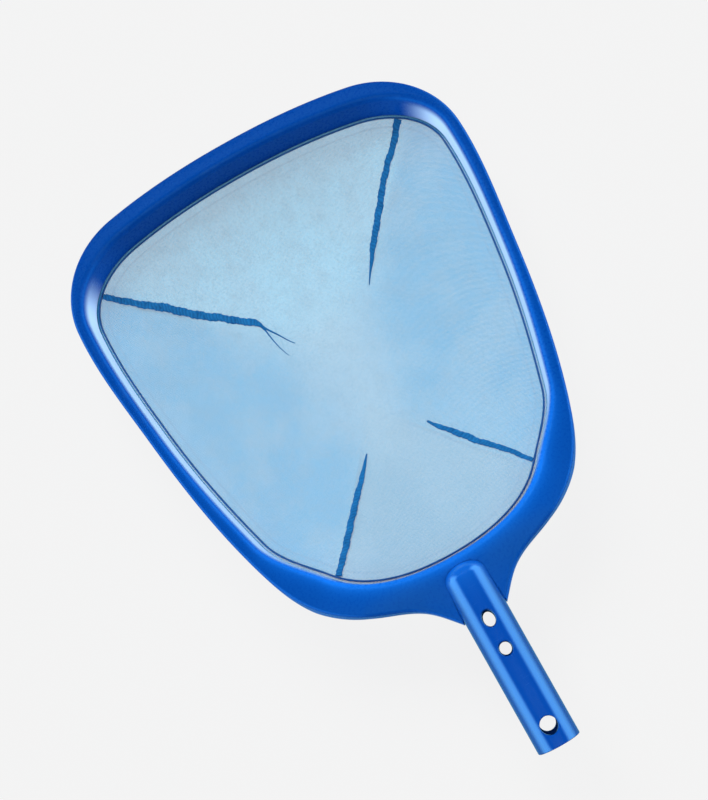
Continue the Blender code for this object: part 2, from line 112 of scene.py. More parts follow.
NET_DEPTH = 0.042
NET_THICKNESS = 0.0008
NET_FLAT_LEDGE = 0.0026
BINDING_RADIUS = 0.0010
HEM_WIDTH = RIM_WALL - RIM_DRAFT + CLEARANCE + 2 * BINDING_RADIUS
BEAD_RADIUS = 0.00065
BEAD_INSET = 0.0019
TAPE_THICKNESS = 0.0011
DARTS = {"far": 1.5, "near": 5.125}
HUB_FROM_CORNER = {"far": 0.117, "near": 0.104}

shell_low, shell_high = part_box("frame_shell")
cover_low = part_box("frame_cover")[0]
tube_low, tube_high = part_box("handle_tube")
net_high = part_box("net_bag")[1]

Z_CREST = shell_high.z
Z_SHELL_BOTTOM = shell_low.z
Z_UNDER = cover_low.z
Z_COVER_TOP = Z_SHELL_BOTTOM - CLEARANCE
Z_HEM = net_high.z - NET_THICKNESS / 2
Z_FOOT = net_high.z + CLEARANCE
Z_TUBE = tube_high.z - TUBE_RADIUS
Y_END = tube_low.y
Y_FAR = shell_high.y
Y_NEAR = Y_FAR - HEAD_LENGTH
Y_YOKE = Y_NEAR - YOKE_LENGTH
Y_DOME = Y_NEAR - DOME_SETBACK
Y_SHOULDER = Y_DOME - TUBE_DOME
HALF_WIDTH = shell_high.x - RIM_FLARE

# Outer edge of the rim, right half, from the blade's middle to the yoke: share of the half
# width, share of the head length from the blade, heading in degrees.
OUTER_KNOTS = (
    (0.000, 0.000, 0.0),
    (0.643, 0.0290, -12.5),
    (1.000, 0.2280, -90.0),
    (0.915, 0.5200, -100.0),
    (0.765, 0.8100, -108.0),
    (0.608, 0.9585, -130.0),
)
SHOULDER = (0.064, 0.0068, -155.0)
NECK = (0.0335, 0.0198, -148.0)
TIP_HEADING = -133.0
NOSE_SETBACK = 0.0085
OPENING_SHOULDER_HEADING = -131.0
NEAR_ARC_SHARES = np.array((0.0, 0.30, 0.62, 0.86, 1.0))
RIM_STEPS = (40, 84, 36, 36, 48, 34, 34, 34, 24)
LAST_U = len(RIM_STEPS)
FIRST_NEAR = len(OUTER_KNOTS) - 1
FLARE_STATIONS = (0, 1, 2, LAST_U - 4, LAST_U - 3)
STATION_STEP = 1e-3
LEAST_TURN = 0.02


# ---- meshes ---------------------------------------------------------------------------------


def grid_faces(rows, columns, wrap_rows=False, wrap_columns=False):
    """Quads between neighbouring points of a grid, numbered row by row, wrapped where asked."""
    row = np.arange(rows if wrap_rows else rows - 1)
    column = np.arange(columns if wrap_columns else columns - 1)
    row, column = np.meshgrid(row, column, indexing="ij")
    next_row, next_column = (row + 1) % rows, (column + 1) % columns
    corners = (
        row * columns + column,
        next_row * columns + column,
        next_row * columns + next_column,
        row * columns + next_column,
    )
    return np.stack(corners, axis=-1).reshape(-1, 4)


def grid_uv(u, v):
    """The u and v of each quad's corners, for lengths u along the rows and v along the columns.

    Each has one more value than the grid has rows or columns where that way is wrapped.
    """
    row, column = np.meshgrid(np.arange(len(u) - 1), np.arange(len(v) - 1), indexing="ij")
    corner_u = np.stack((u[row], u[row + 1], u[row + 1], u[row]), axis=-1)
    corner_v = np.stack((v[column], v[column], v[column + 1], v[column + 1]), axis=-1)
    return np.stack((corner_u, corner_v), axis=-1).reshape(-1, 2)


def make_mesh(name, points, faces, uv=None, marks=None):
    """A mesh from an array of points and an array of quads, with a UV map and point marks."""
    points = np.asarray(points, np.float32).reshape(-1, 3)
    mesh = bpy.data.meshes.new(name)
    mesh.vertices.add(len(points))
    mesh.vertices.foreach_set("co", points.ravel())
    mesh.loops.add(faces.size)
    mesh.loops.foreach_set("vertex_index", faces.astype(np.int32).ravel())
    mesh.polygons.add(len(faces))
    starts = np.arange(len(faces), dtype=np.int32) * faces.shape[1]
    mesh.polygons.foreach_set("loop_start", starts)
    mesh.update(calc_edges=True)
    if uv is not None:
        mesh.uv_layers.new(name="run").data.foreach_set("uv", uv.astype(np.float32).ravel())
    for mark, values in (marks or {}).items():
        add_mark(mesh, mark, values)
    return mesh


def point_places(mesh):
    """The mesh's points as an array of rows."""
    places = np.empty(3 * len(mesh.vertices), np.float32)
    mesh.vertices.foreach_get("co", places)
    return places.reshape(-1, 3)


def add_mark(mesh, mark, values):
    """One value for each point, which a material reads by the mark's name."""
    layer = mesh.attributes.new(mark, "FLOAT", "POINT")
    layer.data.foreach_set("value", np.asarray(values, np.float32).ravel())


def close_up(mesh, solid=True):
    """Merge the doubles at seams and poles and, on a solid, turn every face outwards."""
    bm = bmesh.new()
    bm.from_mesh(mesh)
    bmesh.ops.remove_doubles(bm, verts=bm.verts, dist=MERGE_DISTANCE)
    bmesh.ops.dissolve_degenerate(bm, edges=bm.edges, dist=SLIVER)
    if solid:
        bmesh.ops.recalc_face_normals(bm, faces=bm.faces)
    bm.to_mesh(mesh)
    bm.free()


def closed_mesh(name, points, faces, uv=None, marks=None):
    """A solid's mesh, with its seams and poles merged and its faces turned outwards."""
    mesh = make_mesh(name, points, faces, uv, marks)
    close_up(mesh)
    return mesh


def joined(meshes, name):
    """One mesh that holds all the given ones as separate bodies."""
    bm = bmesh.new()
    for mesh in meshes:
        bm.from_mesh(mesh)
    made = bpy.data.meshes.new(name)
    bm.to_mesh(made)
    bm.free()
    return made


def new_object(name, data):
    """An object of the data, in the scene, at the origin."""
    made = bpy.data.objects.new(name, data)
    bpy.context.scene.collection.objects.link(made)
    return made


def add_object(name, mesh, sharp_degrees):
    """A smooth-shaded object of the mesh, with edges over the angle kept sharp."""
    mesh.name = name
    mesh.shade_smooth()
    mesh.set_sharp_from_angle(angle=math.radians(sharp_degrees))
    return new_object(name, mesh)


def cut_away(mesh, tool):
    """The mesh less the tool's volume."""
    body, cutter = new_object("cut_body", mesh), new_object("cut_tool", tool)
    step = body.modifiers.new("cut", "BOOLEAN")
    step.operation = "DIFFERENCE"
    step.object = cutter
    step.solver = "EXACT"
    graph = bpy.context.evaluated_depsgraph_get()
    result = bpy.data.meshes.new_from_object(body.evaluated_get(graph), depsgraph=graph)
    for each in (body, cutter):
        bpy.data.objects.remove(each)
    return result


def turned(radii, heights, steps, centre, name, axis="Z"):
    """A profile of radii and heights spun about an upright axis, or one along +Y, at centre.

    The points are centre + (radius cos angle, radius sin angle, height), closed at the poles.
    """
    angle = np.arange(steps) / steps * math.tau
    across = radii[:, None] * np.cos(angle)
    beside = radii[:, None] * np.sin(angle)
    along = np.broadcast_to(heights[:, None], across.shape)
    if axis == "Y":
        points = np.stack((across, along, beside), axis=-1)
    else:
        points = np.stack((across, beside, along), axis=-1)
    faces = grid_faces(len(radii), steps, False, True)
    return closed_mesh(name, points + np.array(centre), faces)


# ---- outlines -------------------------------------------------------------------------------


def heading_vector(degrees):
    """Unit vector of a heading, counted from +X towards +Y."""
    return np.array((math.cos(math.radians(degrees)), math.sin(math.radians(degrees))))


def span_handles(start, start_heading, end, end_heading):
    """Control points of a span: its ends, and handles along the headings as long as an arc's."""
    turn = max(abs(math.radians(end_heading - start_heading)), LEAST_TURN)
    reach = np.linalg.norm(end - start) * (2 / 3) * math.tan(turn / 4) / math.sin(turn / 2)
    return (
        start,
        start + heading_vector(start_heading) * reach,
        end - heading_vector(end_heading) * reach,
        end,
    )


def walked_length(points):
    """Length walked along a string of points, from 0 at the first."""
    return np.concatenate(([0.0], np.cumsum(np.linalg.norm(np.diff(points, axis=0), axis=1))))


def spans(knots):
    """The control points of every span between neighbouring knots."""
    return np.array([span_handles(*a, *b) for a, b in zip(knots, knots[1:])])


def bezier(controls, t):
    """Cubic Bezier: the four control points weighted s^3, 3s^2t, 3st^2 and t^3, with s = 1 - t."""
    s = 1 - t
    weights = np.stack((s**3, 3 * s * s * t, 3 * s * t * t, t**3), axis=-1)
    return (weights[..., None] * controls).sum(axis=-2)


outer_knots = [
    (np.array((x * HALF_WIDTH, Y_FAR - y * HEAD_LENGTH)), heading) for x, y, heading in OUTER_KNOTS
]
opening_knots = [
    (point + heading_vector(heading - 90) * band, heading)
    for (point, heading), band in zip(outer_knots, BANDS)
]
opening_knots[-1] = (opening_knots[-1][0], OPENING_SHOULDER_HEADING)
opening_knots.append((np.array((0.0, Y_NEAR)), -180.0))
for x, drop, heading in (SHOULDER, NECK):
    outer_knots.append((np.array((x, Y_NEAR - drop)), heading))
outer_knots.append((np.array((TUBE_RADIUS + RIM_WALL / 2, Y_YOKE)), TIP_HEADING))
OUTER_SPANS = spans(outer_knots)
OPENING_SPANS = spans(opening_knots)


def outer_edge(u):
    """Outer edge at station u: the spans, then a quarter of an oval under the tube."""
    index = np.minimum(u.astype(int), LAST_U - 1)
    t = u - index
    curve = bezier(OUTER_SPANS[np.minimum(index, LAST_U - 2)], t)
    tip = OUTER_SPANS[-1][-1]
    nose = np.stack((tip[0] * (1 - t), tip[1] + NOSE_SETBACK * np.sin(t * math.pi / 2)), axis=-1)
    return np.where((index == LAST_U - 1)[..., None], nose, curve)


def opening_edge(u):
    """Inner face of the rim at station u: the spans, the last one shared out over four steps."""
    index = np.minimum(u.astype(int), LAST_U - 1)
    near = np.clip(index - FIRST_NEAR, 0, None)
    share = np.interp(u - FIRST_NEAR, np.arange(len(NEAR_ARC_SHARES)), NEAR_ARC_SHARES)
    t = np.where(index >= FIRST_NEAR, share, u - index)
    return bezier(OPENING_SPANS[np.where(near > 0, FIRST_NEAR, np.minimum(index, FIRST_NEAR))], t)


def normal_of(edge, u):
    """Unit vector square to an edge in plan: the right half's, pointing away from the bag."""
    ahead, behind = np.clip(u + STATION_STEP, 0, LAST_U), np.clip(u - STATION_STEP, 0, LAST_U)
    run = edge(ahead) - edge(behind)
    normal = np.stack((-run[..., 1], run[..., 0]), axis=-1)
    return normal / np.linalg.norm(normal, axis=-1, keepdims=True)


def flare_at(u):
    """How far the rim's foot stands out past its top at station u, straight between stations."""
    return np.interp(u, FLARE_STATIONS, (0, 0, RIM_FLARE, RIM_FLARE, YOKE_FLARE))


def round_stations(steps):
    """Stations once round the rim, down the right half and back up the left, with their sides."""
    right = [i + np.arange(count) / count for i, count in enumerate(steps)]
    right = np.concatenate(right + [[float(LAST_U)]])
    u = np.concatenate((right, right[-2:0:-1]))
    side = np.where(np.arange(len(u)) < len(right), 1.0, -1.0)
    return u, side


rim_u, rim_side = round_stations(RIM_STEPS)
rim_inner = opening_edge(rim_u)
rim_across = outer_edge(rim_u) - rim_inner
rim_width = np.linalg.norm(rim_across, axis=-1)
rim_across = rim_across / rim_width[:, None]
rim_drop = BLADE_DROP * np.sqrt(np.clip(1 - rim_u / 2, 0, None))
rim_drop = rim_drop + YOKE_DROP * np.clip((rim_u - LAST_U + 3) / 2, 0, 1)
rim_flare = flare_at(rim_u)


def round_rim(across, height):
    """A section's points at every station: the opening's edge plus across times the band's way."""
    across, height = np.broadcast_arrays(across, height)
    plan = rim_inner[:, None, :] + rim_across[:, None, :] * across[..., None]
    return np.stack((plan[..., 0] * rim_side[:, None], plan[..., 1], height), axis=-1)


def carried_round(name, ring, marks=None):
    """The solid that a closed section makes when it is carried once round the rim."""
    points = round_rim(*ring)
    return closed_mesh(name, points, grid_faces(*points.shape[:2], True, True), marks=marks)


def arc(centre, radius, start, end, count):
    """Points of an arc at every station: the centre plus the radius at evenly stepped angles."""
    angle = np.radians(np.linspace(start, end, count))
    across, height = np.broadcast_arrays(*centre)
    return across[:, None] + radius * np.cos(angle), height[:, None] + radius * np.sin(angle)


def line(start, end, count, crown=0.0):
    """Points between two places at every station, both left out, raised by a parabola's crown."""
    share = np.linspace(0, 1, count + 2)[1:-1]
    a_across, a_height = np.broadcast_arrays(*start)
    b_across, b_height = np.broadcast_arrays(*end)
    across = a_across[:, None] + (b_across - a_across)[:, None] * share
    height = a_height[:, None] + (b_height - a_height)[:, None] * share
    return across, height + crown * 4 * share * (1 - share)


def section(parts):
    """Strings of section points put end to end."""
    return tuple(np.concatenate([part[i] for part in parts], axis=1) for i in (0, 1))


# ---- frame halves ---------------------------------------------------------------------------

SEAT_STEPS, SEAT_TURN_STEPS = 28, 112
CRADLE_STEPS, BOSS_STEPS, SINK_STEPS = 33, 24, 40
WALK_STEPS = 400
# The shell's marks: how far the band faces sideways before its flank takes a painted pale
# reflection, how fast that deepens and how far it reaches in fillets, where the worn shoulders lie
# in fillets, and how much painted light makes the near band bluer, all over and at its opening.
FLANK_FROM, FLANK_SPAN = 0.58, 0.40
FLANK_DEEPENING, FLANK_REACH = 0.75, 1.2
INNER_SHOULDER, OUTER_SHOULDER, SHOULDER_REACH = 0.45, 0.4, 0.5
NEAR_FACING, NEAR_FACING_LOSS = 1.6, 0.2
NEAR_PAINTED_LIGHT, NEAR_EDGE_PAINTED_LIGHT, NEAR_FADE = 0.10, 0.48, 0.0034


def tube_profile(radius, end_radius, dome, top, low, count):
    """Radii and places along the tube: a quarter oval from the axis, then straight to the end."""
    angle = np.linspace(0, math.pi / 2, count)
    radii = radius * np.sin(angle)
    along = top - dome * (1 - np.cos(angle))
    run = np.linspace(0, 1, count)[1:]
    return (
        np.concatenate((radii, radius + (end_radius - radius) * run)),
        np.concatenate((along, along[-1] + (low - along[-1]) * run)),
    )


def tube_seat():
    """The tube's outside with a hair's gap all round, closed at the pole end."""
    radius, end_radius, top = (
        size + SEAT_GAP for size in (TUBE_RADIUS, TUBE_END_RADIUS, Y_DOME)
    )
    radii, along = tube_profile(radius, end_radius, TUBE_DOME, top, Y_END, SEAT_STEPS)
    profile = np.append(radii, 0.0), np.append(along, Y_END)
    return turned(*profile, SEAT_TURN_STEPS, (0, 0, Z_TUBE), "seat", "Y")


def tent(value, middle, reach):
    """1 at the middle, falling evenly to 0 at the reach on either side."""
    return np.clip(1 - np.abs(value - middle) / reach, 0, 1)


def shell_marks(across, height):
    """The shell's masks: flanks with a painted pale reflection, worn shoulders and the near band's
    painted light, a brighter blue.

    A flank is a smooth step of how far the band faces sideways, times the depth below the
    shoulder.  The near band's mark falls off from the opening as e to the minus distance.
    """
    from_opening = across / INNER_FILLET
    from_outside = (rim_width[:, None] - across) / OUTER_FILLET
    depth = (Z_CREST - INNER_FILLET / 2 - height) / INNER_FILLET
    flank = np.clip((np.abs(rim_across[:, 0]) - FLANK_FROM) / FLANK_SPAN, 0, 1)[:, None]
    flank = flank * flank * (3 - 2 * flank)
    flank = flank * np.clip(depth * FLANK_DEEPENING, 0, 1)
    edge = np.maximum(
        tent(from_opening, INNER_SHOULDER, SHOULDER_REACH),
        tent(from_outside, OUTER_SHOULDER, SHOULDER_REACH),
    )
    facing = np.clip(-NEAR_FACING * rim_across[:, 1] - NEAR_FACING_LOSS, 0, 1)[:, None]
    inwards = np.clip(across - INNER_FILLET / 2, 0, None)
    return {
        # Painted pale reflection on the inner side flanks, which also makes them a little
        # smoother.
        "gloss_and_painted_reflection": flank * np.clip(FLANK_REACH - np.abs(from_opening), 0, 1),
        "edge": edge,
        # Painted light on the near band, strongest at its opening's fillet.
        "painted_light": facing * (NEAR_PAINTED_LIGHT + NEAR_EDGE_PAINTED_LIGHT * np.exp(-inwards / NEAR_FADE)),
    }


def shell_mesh():
    """The upper shell's section, an upside-down channel with rounded shoulders, round the rim."""
    zero = np.zeros_like(rim_width)
    flare = rim_width + rim_flare
    lip = EDGE_ROUND
    inner = (zero + INNER_FILLET, Z_CREST - INNER_FILLET)
    outer = (rim_width - OUTER_FILLET, Z_CREST - rim_drop - OUTER_FILLET)
    wall = RIM_WALL
    crown = BAND_CROWN * (rim_width / BANDS[0])[:, None] ** 2
    skin = section(
        (
            arc((zero - RIM_DRAFT + lip, Z_FOOT + lip), lip, 260, 185, 4),
            line((zero - RIM_DRAFT, Z_FOOT + lip), (zero, inner[1]), 9),
            arc(inner, INNER_FILLET, 180, 90, 15),
            line((inner[0], Z_CREST), (outer[0], outer[1] + OUTER_FILLET), 12, crown),
            arc(outer, OUTER_FILLET, 90, 0, 12),
            line((rim_width, outer[1]), (flare, Z_SHELL_BOTTOM + lip), 7),
            arc((flare - lip, Z_SHELL_BOTTOM + lip), lip, -5, -85, 4),
            line((flare - lip, Z_SHELL_BOTTOM), (flare - wall, Z_SHELL_BOTTOM), 1),
            line((flare - wall, Z_SHELL_BOTTOM), (rim_width - wall, outer[1]), 3),
            arc(outer, OUTER_FILLET - wall, 0, 90, 4),
            arc(inner, INNER_FILLET - wall, 90, 180, 5),
            line((zero + wall, inner[1]), (zero - RIM_DRAFT + wall, Z_FOOT), 3),
        )
    )
    return carried_round("shell", skin, shell_marks(skin[0], round_rim(*skin)[..., 2]))


def cover_mesh():
    """The cover's section, a flat strip with eased lower edges, carried round the rim."""
    zero = np.zeros_like(rim_width)
    inner = zero - RIM_DRAFT
    outer = rim_width + rim_flare
    lip = EDGE_ROUND
    strip = section(
        (
            arc((inner + lip, Z_UNDER + lip), lip, 260, 190, 3),
            arc((inner + lip, Z_COVER_TOP - lip), lip, 170, 100, 3),
            line((inner + lip, Z_COVER_TOP), (outer - lip, Z_COVER_TOP), 5),
            arc((outer - lip, Z_COVER_TOP - lip), lip, 80, 10, 3),
            arc((outer - lip, Z_UNDER + lip), lip, -10, -80, 3),
            line((outer - lip, Z_UNDER), (inner + lip, Z_UNDER), 9),
        )
    )
    return carried_round("cover", strip)


def cradle_mesh():
    """The tube's cradle: a block whose top follows the tube's underside, height less a circle."""
    low = Y_YOKE + NOSE_SETBACK + RIM_WALL + 3 * CLEARANCE
    high = Y_NEAR - HEM_WIDTH - 2 * CLEARANCE
    x = np.linspace(-CRADLE_HALF_WIDTH, CRADLE_HALF_WIDTH, CRADLE_STEPS)
    trough = Z_TUBE - np.sqrt((TUBE_RADIUS + CLEARANCE) ** 2 - x**2)
    top = np.minimum(Z_UNDER + CLEARANCE + CRADLE_HEIGHT, trough)
    foot = np.full_like(x, Z_UNDER + 2 * CLEARANCE)
    ring_x = np.concatenate((x, x[::-1]))
    ring_z = np.concatenate((foot, top[::-1]))
    middle = ring_x * 0, ring_z * 0 + Z_UNDER + 3 * CLEARANCE
    rows = []
    for y, (across, height) in (
        (low, middle),
        (low, (ring_x, ring_z)),
        (high, (ring_x, ring_z)),
        (high, middle),
    ):
        rows.append(np.stack((across, np.full_like(across, y), height), axis=-1))
    return closed_mesh("cradle", np.array(rows), grid_faces(4, len(ring_x), False, True))


def screw_places():
    """Plan positions of the screws, evenly spaced along the rim from the blade's middle."""
    fine = np.linspace(0.0, LAST_U - SCREWLESS_STATIONS, WALK_STEPS)
    walked = walked_length(outer_edge(fine))
    u = np.interp(walked[-1] * np.arange(SCREW_PAIRS + 1) / SCREW_PAIRS, walked, fine)
    inset = RIM_WALL + BOSS_RADIUS - BOSS_OVERLAP - flare_at(u)
    centre = outer_edge(u) - normal_of(outer_edge, u) * inset[:, None]
    both = np.stack((centre, centre * (-1, 1)), axis=1).reshape(-1, 2)
    return np.delete(both, 1, axis=0)


def boss_mesh(place):
    """A screw boss: an upright cylinder with a blind pilot hole from below."""
    top = Z_SHELL_BOTTOM + BOSS_HEIGHT
    pilot = SCREW_RADIUS + CLEARANCE
    roof = Z_UNDER + SCREW_LENGTH + 3 * CLEARANCE
    radii = np.array((0.0, BOSS_RADIUS, BOSS_RADIUS, pilot, pilot, 0.0))
    heights = np.array((top, top, Z_SHELL_BOTTOM, Z_SHELL_BOTTOM, roof, roof))
    return turned(radii, heights, BOSS_STEPS, (place[0], place[1], 0.0), "boss")


def sink_mesh(place):
    """What a screw hole takes out of the cover: a sink for the head and a hole for the shank."""
    sink = SCREW_HEAD_RADIUS + CLEARANCE
    hole = SCREW_RADIUS + CLEARANCE
    below, above = Z_UNDER - CLEARANCE, Z_COVER_TOP + CLEARANCE
    floor = Z_UNDER + SCREW_HEAD_HEIGHT + 2 * CLEARANCE
    radii = np.array((0.0, hole, hole, sink, sink, sink + 2 * CLEARANCE, 0.0))
    heights = np.array((above, above, floor, floor, Z_UNDER + CLEARANCE, below, below))
    return turned(radii, heights, SINK_STEPS, (place[0], place[1], 0.0), "sink")


# ---- handle tube ----------------------------------------------------------------------------

HOLE_STEPS = 72
MOUTH_STEPS, MOUTH_TURN = 7, 78
MOUTH_MARGIN, MOUTH_RISE = 0.0003, 0.0004
HOLE_REACH = 1.6
OUTSIDE_STEPS, BORE_STEPS, LIP_STEPS, TURN_STEPS = 40, 24, 6, 144
LIP_ROOM = 1.5
# The tube's marks: the dome's painted light, a brighter blue, and how far it fades, how far under
# the surface a hole's wall gets its full painted shade, and the lengths at the open end and at the
# shoulder that count as no hole.
DOME_PAINTED_LIGHT, DOME_FADE = 0.85, 0.010
WALL_SHADE_DEPTH = 0.0005
UNSHADED_END, UNSHADED_SHOULDER = 0.003, 0.002


def tube_radius(y):
    """The outer radius at y, tapering evenly from the dome's foot to the open end."""
    share = (Y_SHOULDER - y) / (Y_SHOULDER - Y_END)
    return TUBE_RADIUS + (TUBE_END_RADIUS - TUBE_RADIUS) * np.clip(share, 0, 1)


def hole_mesh(width, run, from_end, rounding):
    """A cutter for a cross hole whose mouths flare in a quarter round where they meet the tube.

    At angle a the wall is ((width / 2 + e) cos a, (run / 2 + e) sin a); its height is the tube's
    surface less a rounding that shrinks as the widening e grows.
    """
    angle = np.arange(HOLE_STEPS) / HOLE_STEPS * math.tau
    turn = np.radians(np.linspace(0, MOUTH_TURN, MOUTH_STEPS))
    widen = rounding * (1 - np.cos(turn))
    widen = np.append(widen, widen[-1] + MOUTH_MARGIN)
    sunk = np.append(rounding * (1 - np.sin(turn)), -MOUTH_RISE)
    centre_y = Y_END + from_end
    radius = tube_radius(centre_y)
    x = (width / 2 + widen[:, None]) * np.cos(angle)
    y = (run / 2 + widen[:, None]) * np.sin(angle)
    z = np.sqrt(radius**2 - x**2) - sunk[:, None]
    x, y = (
        np.concatenate((way[-1:] * 0, way[-1:], way[::-1], way, way[-1:], way[-1:] * 0))
        for way in (x, y)
    )
    cap = np.full((2, len(angle)), HOLE_REACH * radius)
    z = np.concatenate((cap, z[::-1], -z, -cap))
    points = np.stack((x, y + centre_y, z + Z_TUBE), axis=-1)
    return closed_mesh("cross_hole", points, grid_faces(len(points), len(angle), False, True))


def tube_mesh():
    """The socket tube turned about its axis: domed outside, rounded lip, domed bore.

    Its dome is marked with painted light, and what lies under its outer surface between the ends
    with painted shade.
    """
    outside = (TUBE_RADIUS, TUBE_END_RADIUS, TUBE_DOME, Y_DOME)
    bore = (size - TUBE_WALL for size in outside)
    radii, along = tube_profile(*outside, Y_END, OUTSIDE_STEPS)
    bore_radii, bore_along = tube_profile(*bore, Y_END, BORE_STEPS)
    turn = np.radians(np.linspace(0, 90, LIP_STEPS))
    widen, rise = TUBE_LIP * (1 - np.cos(turn)), TUBE_LIP * (1 - np.sin(turn))
    outer_keep = along > Y_END + TUBE_LIP * LIP_ROOM
    bore_keep = bore_along > Y_END + TUBE_LIP * LIP_ROOM
    profile_radii = np.concatenate(
        (
            radii[outer_keep],
            radii[-1] - widen,
            bore_radii[-1] + widen[::-1],
            bore_radii[bore_keep][::-1],
        )
    )
    profile_along = np.concatenate(
        (along[outer_keep], Y_END + rise, Y_END + rise[::-1], bore_along[bore_keep][::-1])
    )
    solid = turned(profile_radii, profile_along, TURN_STEPS, (0, 0, Z_TUBE), "tube", "Y")
    made = cut_away(solid, joined([hole_mesh(*hole) for hole in CROSS_HOLES], "holes"))
    x, y, z = point_places(made).T
    # Painted light on the dome, fading towards the open end.
    add_mark(made, "painted_light", DOME_PAINTED_LIGHT * np.exp(-np.clip(Y_DOME - y, 0, None) / DOME_FADE))
    # Painted shade in the hole walls, below the tube's outer surface.
    sunk = tube_radius(y) - np.hypot(x, z - Z_TUBE)
    hole_shade = np.clip(sunk / WALL_SHADE_DEPTH, 0, 1)
    hole_shade = hole_shade * (y > Y_END + UNSHADED_END) * (y < Y_SHOULDER - UNSHADED_SHOULDER)
    add_mark(made, "hole_shade", hole_shade)
    return made


# ---- mesh bag -------------------------------------------------------------------------------


def hub(u):
    """The floor's point that station u hangs towards, on a short line along the bag."""
    ends = opening_edge(np.array([DARTS["far"], DARTS["near"]]))[:, 1]
    far_y, near_y = ends[0] - HUB_FROM_CORNER["far"], ends[1] + HUB_FROM_CORNER["near"]
    share = np.clip((u - DARTS["far"]) / (DARTS["near"] - DARTS["far"]), 0, 1)
    return np.stack((share * 0, far_y + (near_y - far_y) * share), axis=-1)


def net_place(u, r):
    """The mesh between the hub (r = 0) and the rim's ledge (r = 1): height follows 1 - r^2."""
    ledge = opening_edge(u) - normal_of(opening_edge, u) * (RIM_DRAFT + NET_FLAT_LEDGE)
    plan = hub(u) + (ledge - hub(u)) * r[..., None]
    height = Z_HEM - NET_DEPTH * (1 - r * r)
    return np.concatenate((plan, height[..., None]), axis=-1)


def waves(x, y, terms):
    """A sum of plane waves: amplitude times the sine of (turns per metre along x and y, phase)."""
    total = np.zeros_like(x)
    for amplitude, turns_x, turns_y, phase in terms:
        total = total + amplitude * np.sin(math.tau * (turns_x * x + turns_y * y) + phase)
    return total


# Height, turns per metre along x and y, and phase of each slack wave in the cloth.
SLACK_WAVES = (
    (0.00045, 9.0, 4.0, 0.4),
    (0.00040, -6.0, 8.5, 2.1),
    (0.00022, 21.0, -12.0, 1.3),
    (0.00018, 15.0, 26.0, 0.2),
    (0.00010, -44.0, 31.0, 2.9),
)
# A dart's ridge: its height, its widths in stations times the share of the way out, and the
# shares at which it starts, has risen and ends.
RIDGE_HEIGHT, RIDGE_WIDTH = 0.0010, 0.060
RIDGE_FOOT_SHARE, RIDGE_FOOT_WIDTH = 0.35, 0.22
RIDGE_FROM, RIDGE_RISE, RIDGE_END = 0.16, 0.30, 0.05
PANEL_CROSSING, PANEL_SOFTENING, PANEL_CRISP_FROM = 0.05, 0.9, 0.62
# How near the rim and the hub, as shares of the way out, the cloth is held.
FREE_REACH, HUB_REACH = 0.12, 0.15
HELD_RIDGE, FREE_RIDGE = 0.4, 0.6
NET_STEPS = (28, 60, 26, 26, 36, 22, 22, 22, 16)
NET_RINGS, NET_CROWDING = 104, 1.1
HEM_RINGS, HEM_REACH = 8, 1.1


def dart_ridge(u, r):
    """How far the cloth stands up along the darts: a bell on a wider bell, fading at its ends."""
    lift = np.zeros(np.broadcast(u, r).shape)
    fade = np.clip((r - RIDGE_FROM) / RIDGE_RISE, 0, 1) * np.clip((1.0 - r) / RIDGE_END, 0, 1)
    for station in DARTS.values():
        aside = (u - station) * r
        crest = np.exp(-((aside / RIDGE_WIDTH) ** 2))
        foot = RIDGE_FOOT_SHARE * np.exp(-((aside / RIDGE_FOOT_WIDTH) ** 2))
        lift = lift + (crest + foot) * fade * RIDGE_HEIGHT
    return lift


def panel_share(u, r):
    """Masks of the far and the near panel: logistic steps at the darts, softer near the hub."""
    sharp = PANEL_CROSSING + PANEL_SOFTENING * np.clip(PANEL_CRISP_FROM - r, 0, 1)
    far = 1 / (1 + np.exp((u - DARTS["far"]) / sharp))
    near = 1 / (1 + np.exp((DARTS["near"] - u) / sharp))
    return far, near


def cloth_place(u, r, side):
    """The hanging cloth: the net's place raised by its slack waves and by the dart ridges."""
    place = net_place(u, r)
    free = np.clip((1 - r) / FREE_REACH, 0, 1)
    slack = waves(place[..., 0] * side, place[..., 1], SLACK_WAVES) * free
    loose = HELD_RIDGE + FREE_RIDGE * free * np.clip(r / HUB_REACH, 0, 1)
    place[..., 2] += slack + dart_ridge(u, r) * loose
    return place


def net_mesh():
    """The mesh bag: a flat hem under the rim, then the hanging cloth with its slack and ridges.

    Each ring's share of the way out is 1 less an evenly stepped length to the crowding's power.
    """
    u, side = round_stations(NET_STEPS)
    shares = 1 - np.linspace(0, 1, NET_RINGS) ** NET_CROWDING
    outwards = np.linspace(HEM_WIDTH, -RIM_DRAFT - NET_FLAT_LEDGE, HEM_RINGS + 1)[:-1, None]
    hem = opening_edge(u)[:, None, :] + normal_of(opening_edge, u)[:, None, :] * outwards
    hem = np.concatenate((hem, np.full(hem.shape[:2] + (1,), Z_HEM)), axis=-1)
    grid_u, grid_r = np.meshgrid(u, shares, indexing="ij")
    bag = cloth_place(grid_u, grid_r, side[:, None])
    points = np.concatenate((hem, bag), axis=1)
    points[..., 0] *= side[:, None]
    r_marks = np.concatenate((np.full(hem.shape[:2], HEM_REACH), grid_r), axis=1)
    # The far and near masks carry the panels' painted light and shade.
    far, near = panel_share(np.broadcast_to(u[:, None], r_marks.shape), r_marks)
    ledge = points[:, HEM_RINGS : HEM_RINGS + 1, :]
    from_rim = np.linalg.norm(points - ledge, axis=-1)
    from_rim[:, :HEM_RINGS] = 0
    marks = {"far": far, "near": near, "reach": r_marks, "from_rim": from_rim}
    faces = grid_faces(*points.shape[:2], True, False)[:, ::-1]
    mesh = make_mesh("net", points, faces, marks=marks)
    close_up(mesh, solid=False)
    return mesh


def unit(vectors):
    """The vectors divided by their lengths."""
    return vectors / np.linalg.norm(vectors, axis=-1, keepdims=True)


# Thread wraps round the whole binding, points along each and round the bead, and their ridge.
BINDING_WRAPS = 760
WRAP_STEPS, BEAD_STEPS = 7, 14
WRAP_RIDGE = 0.16


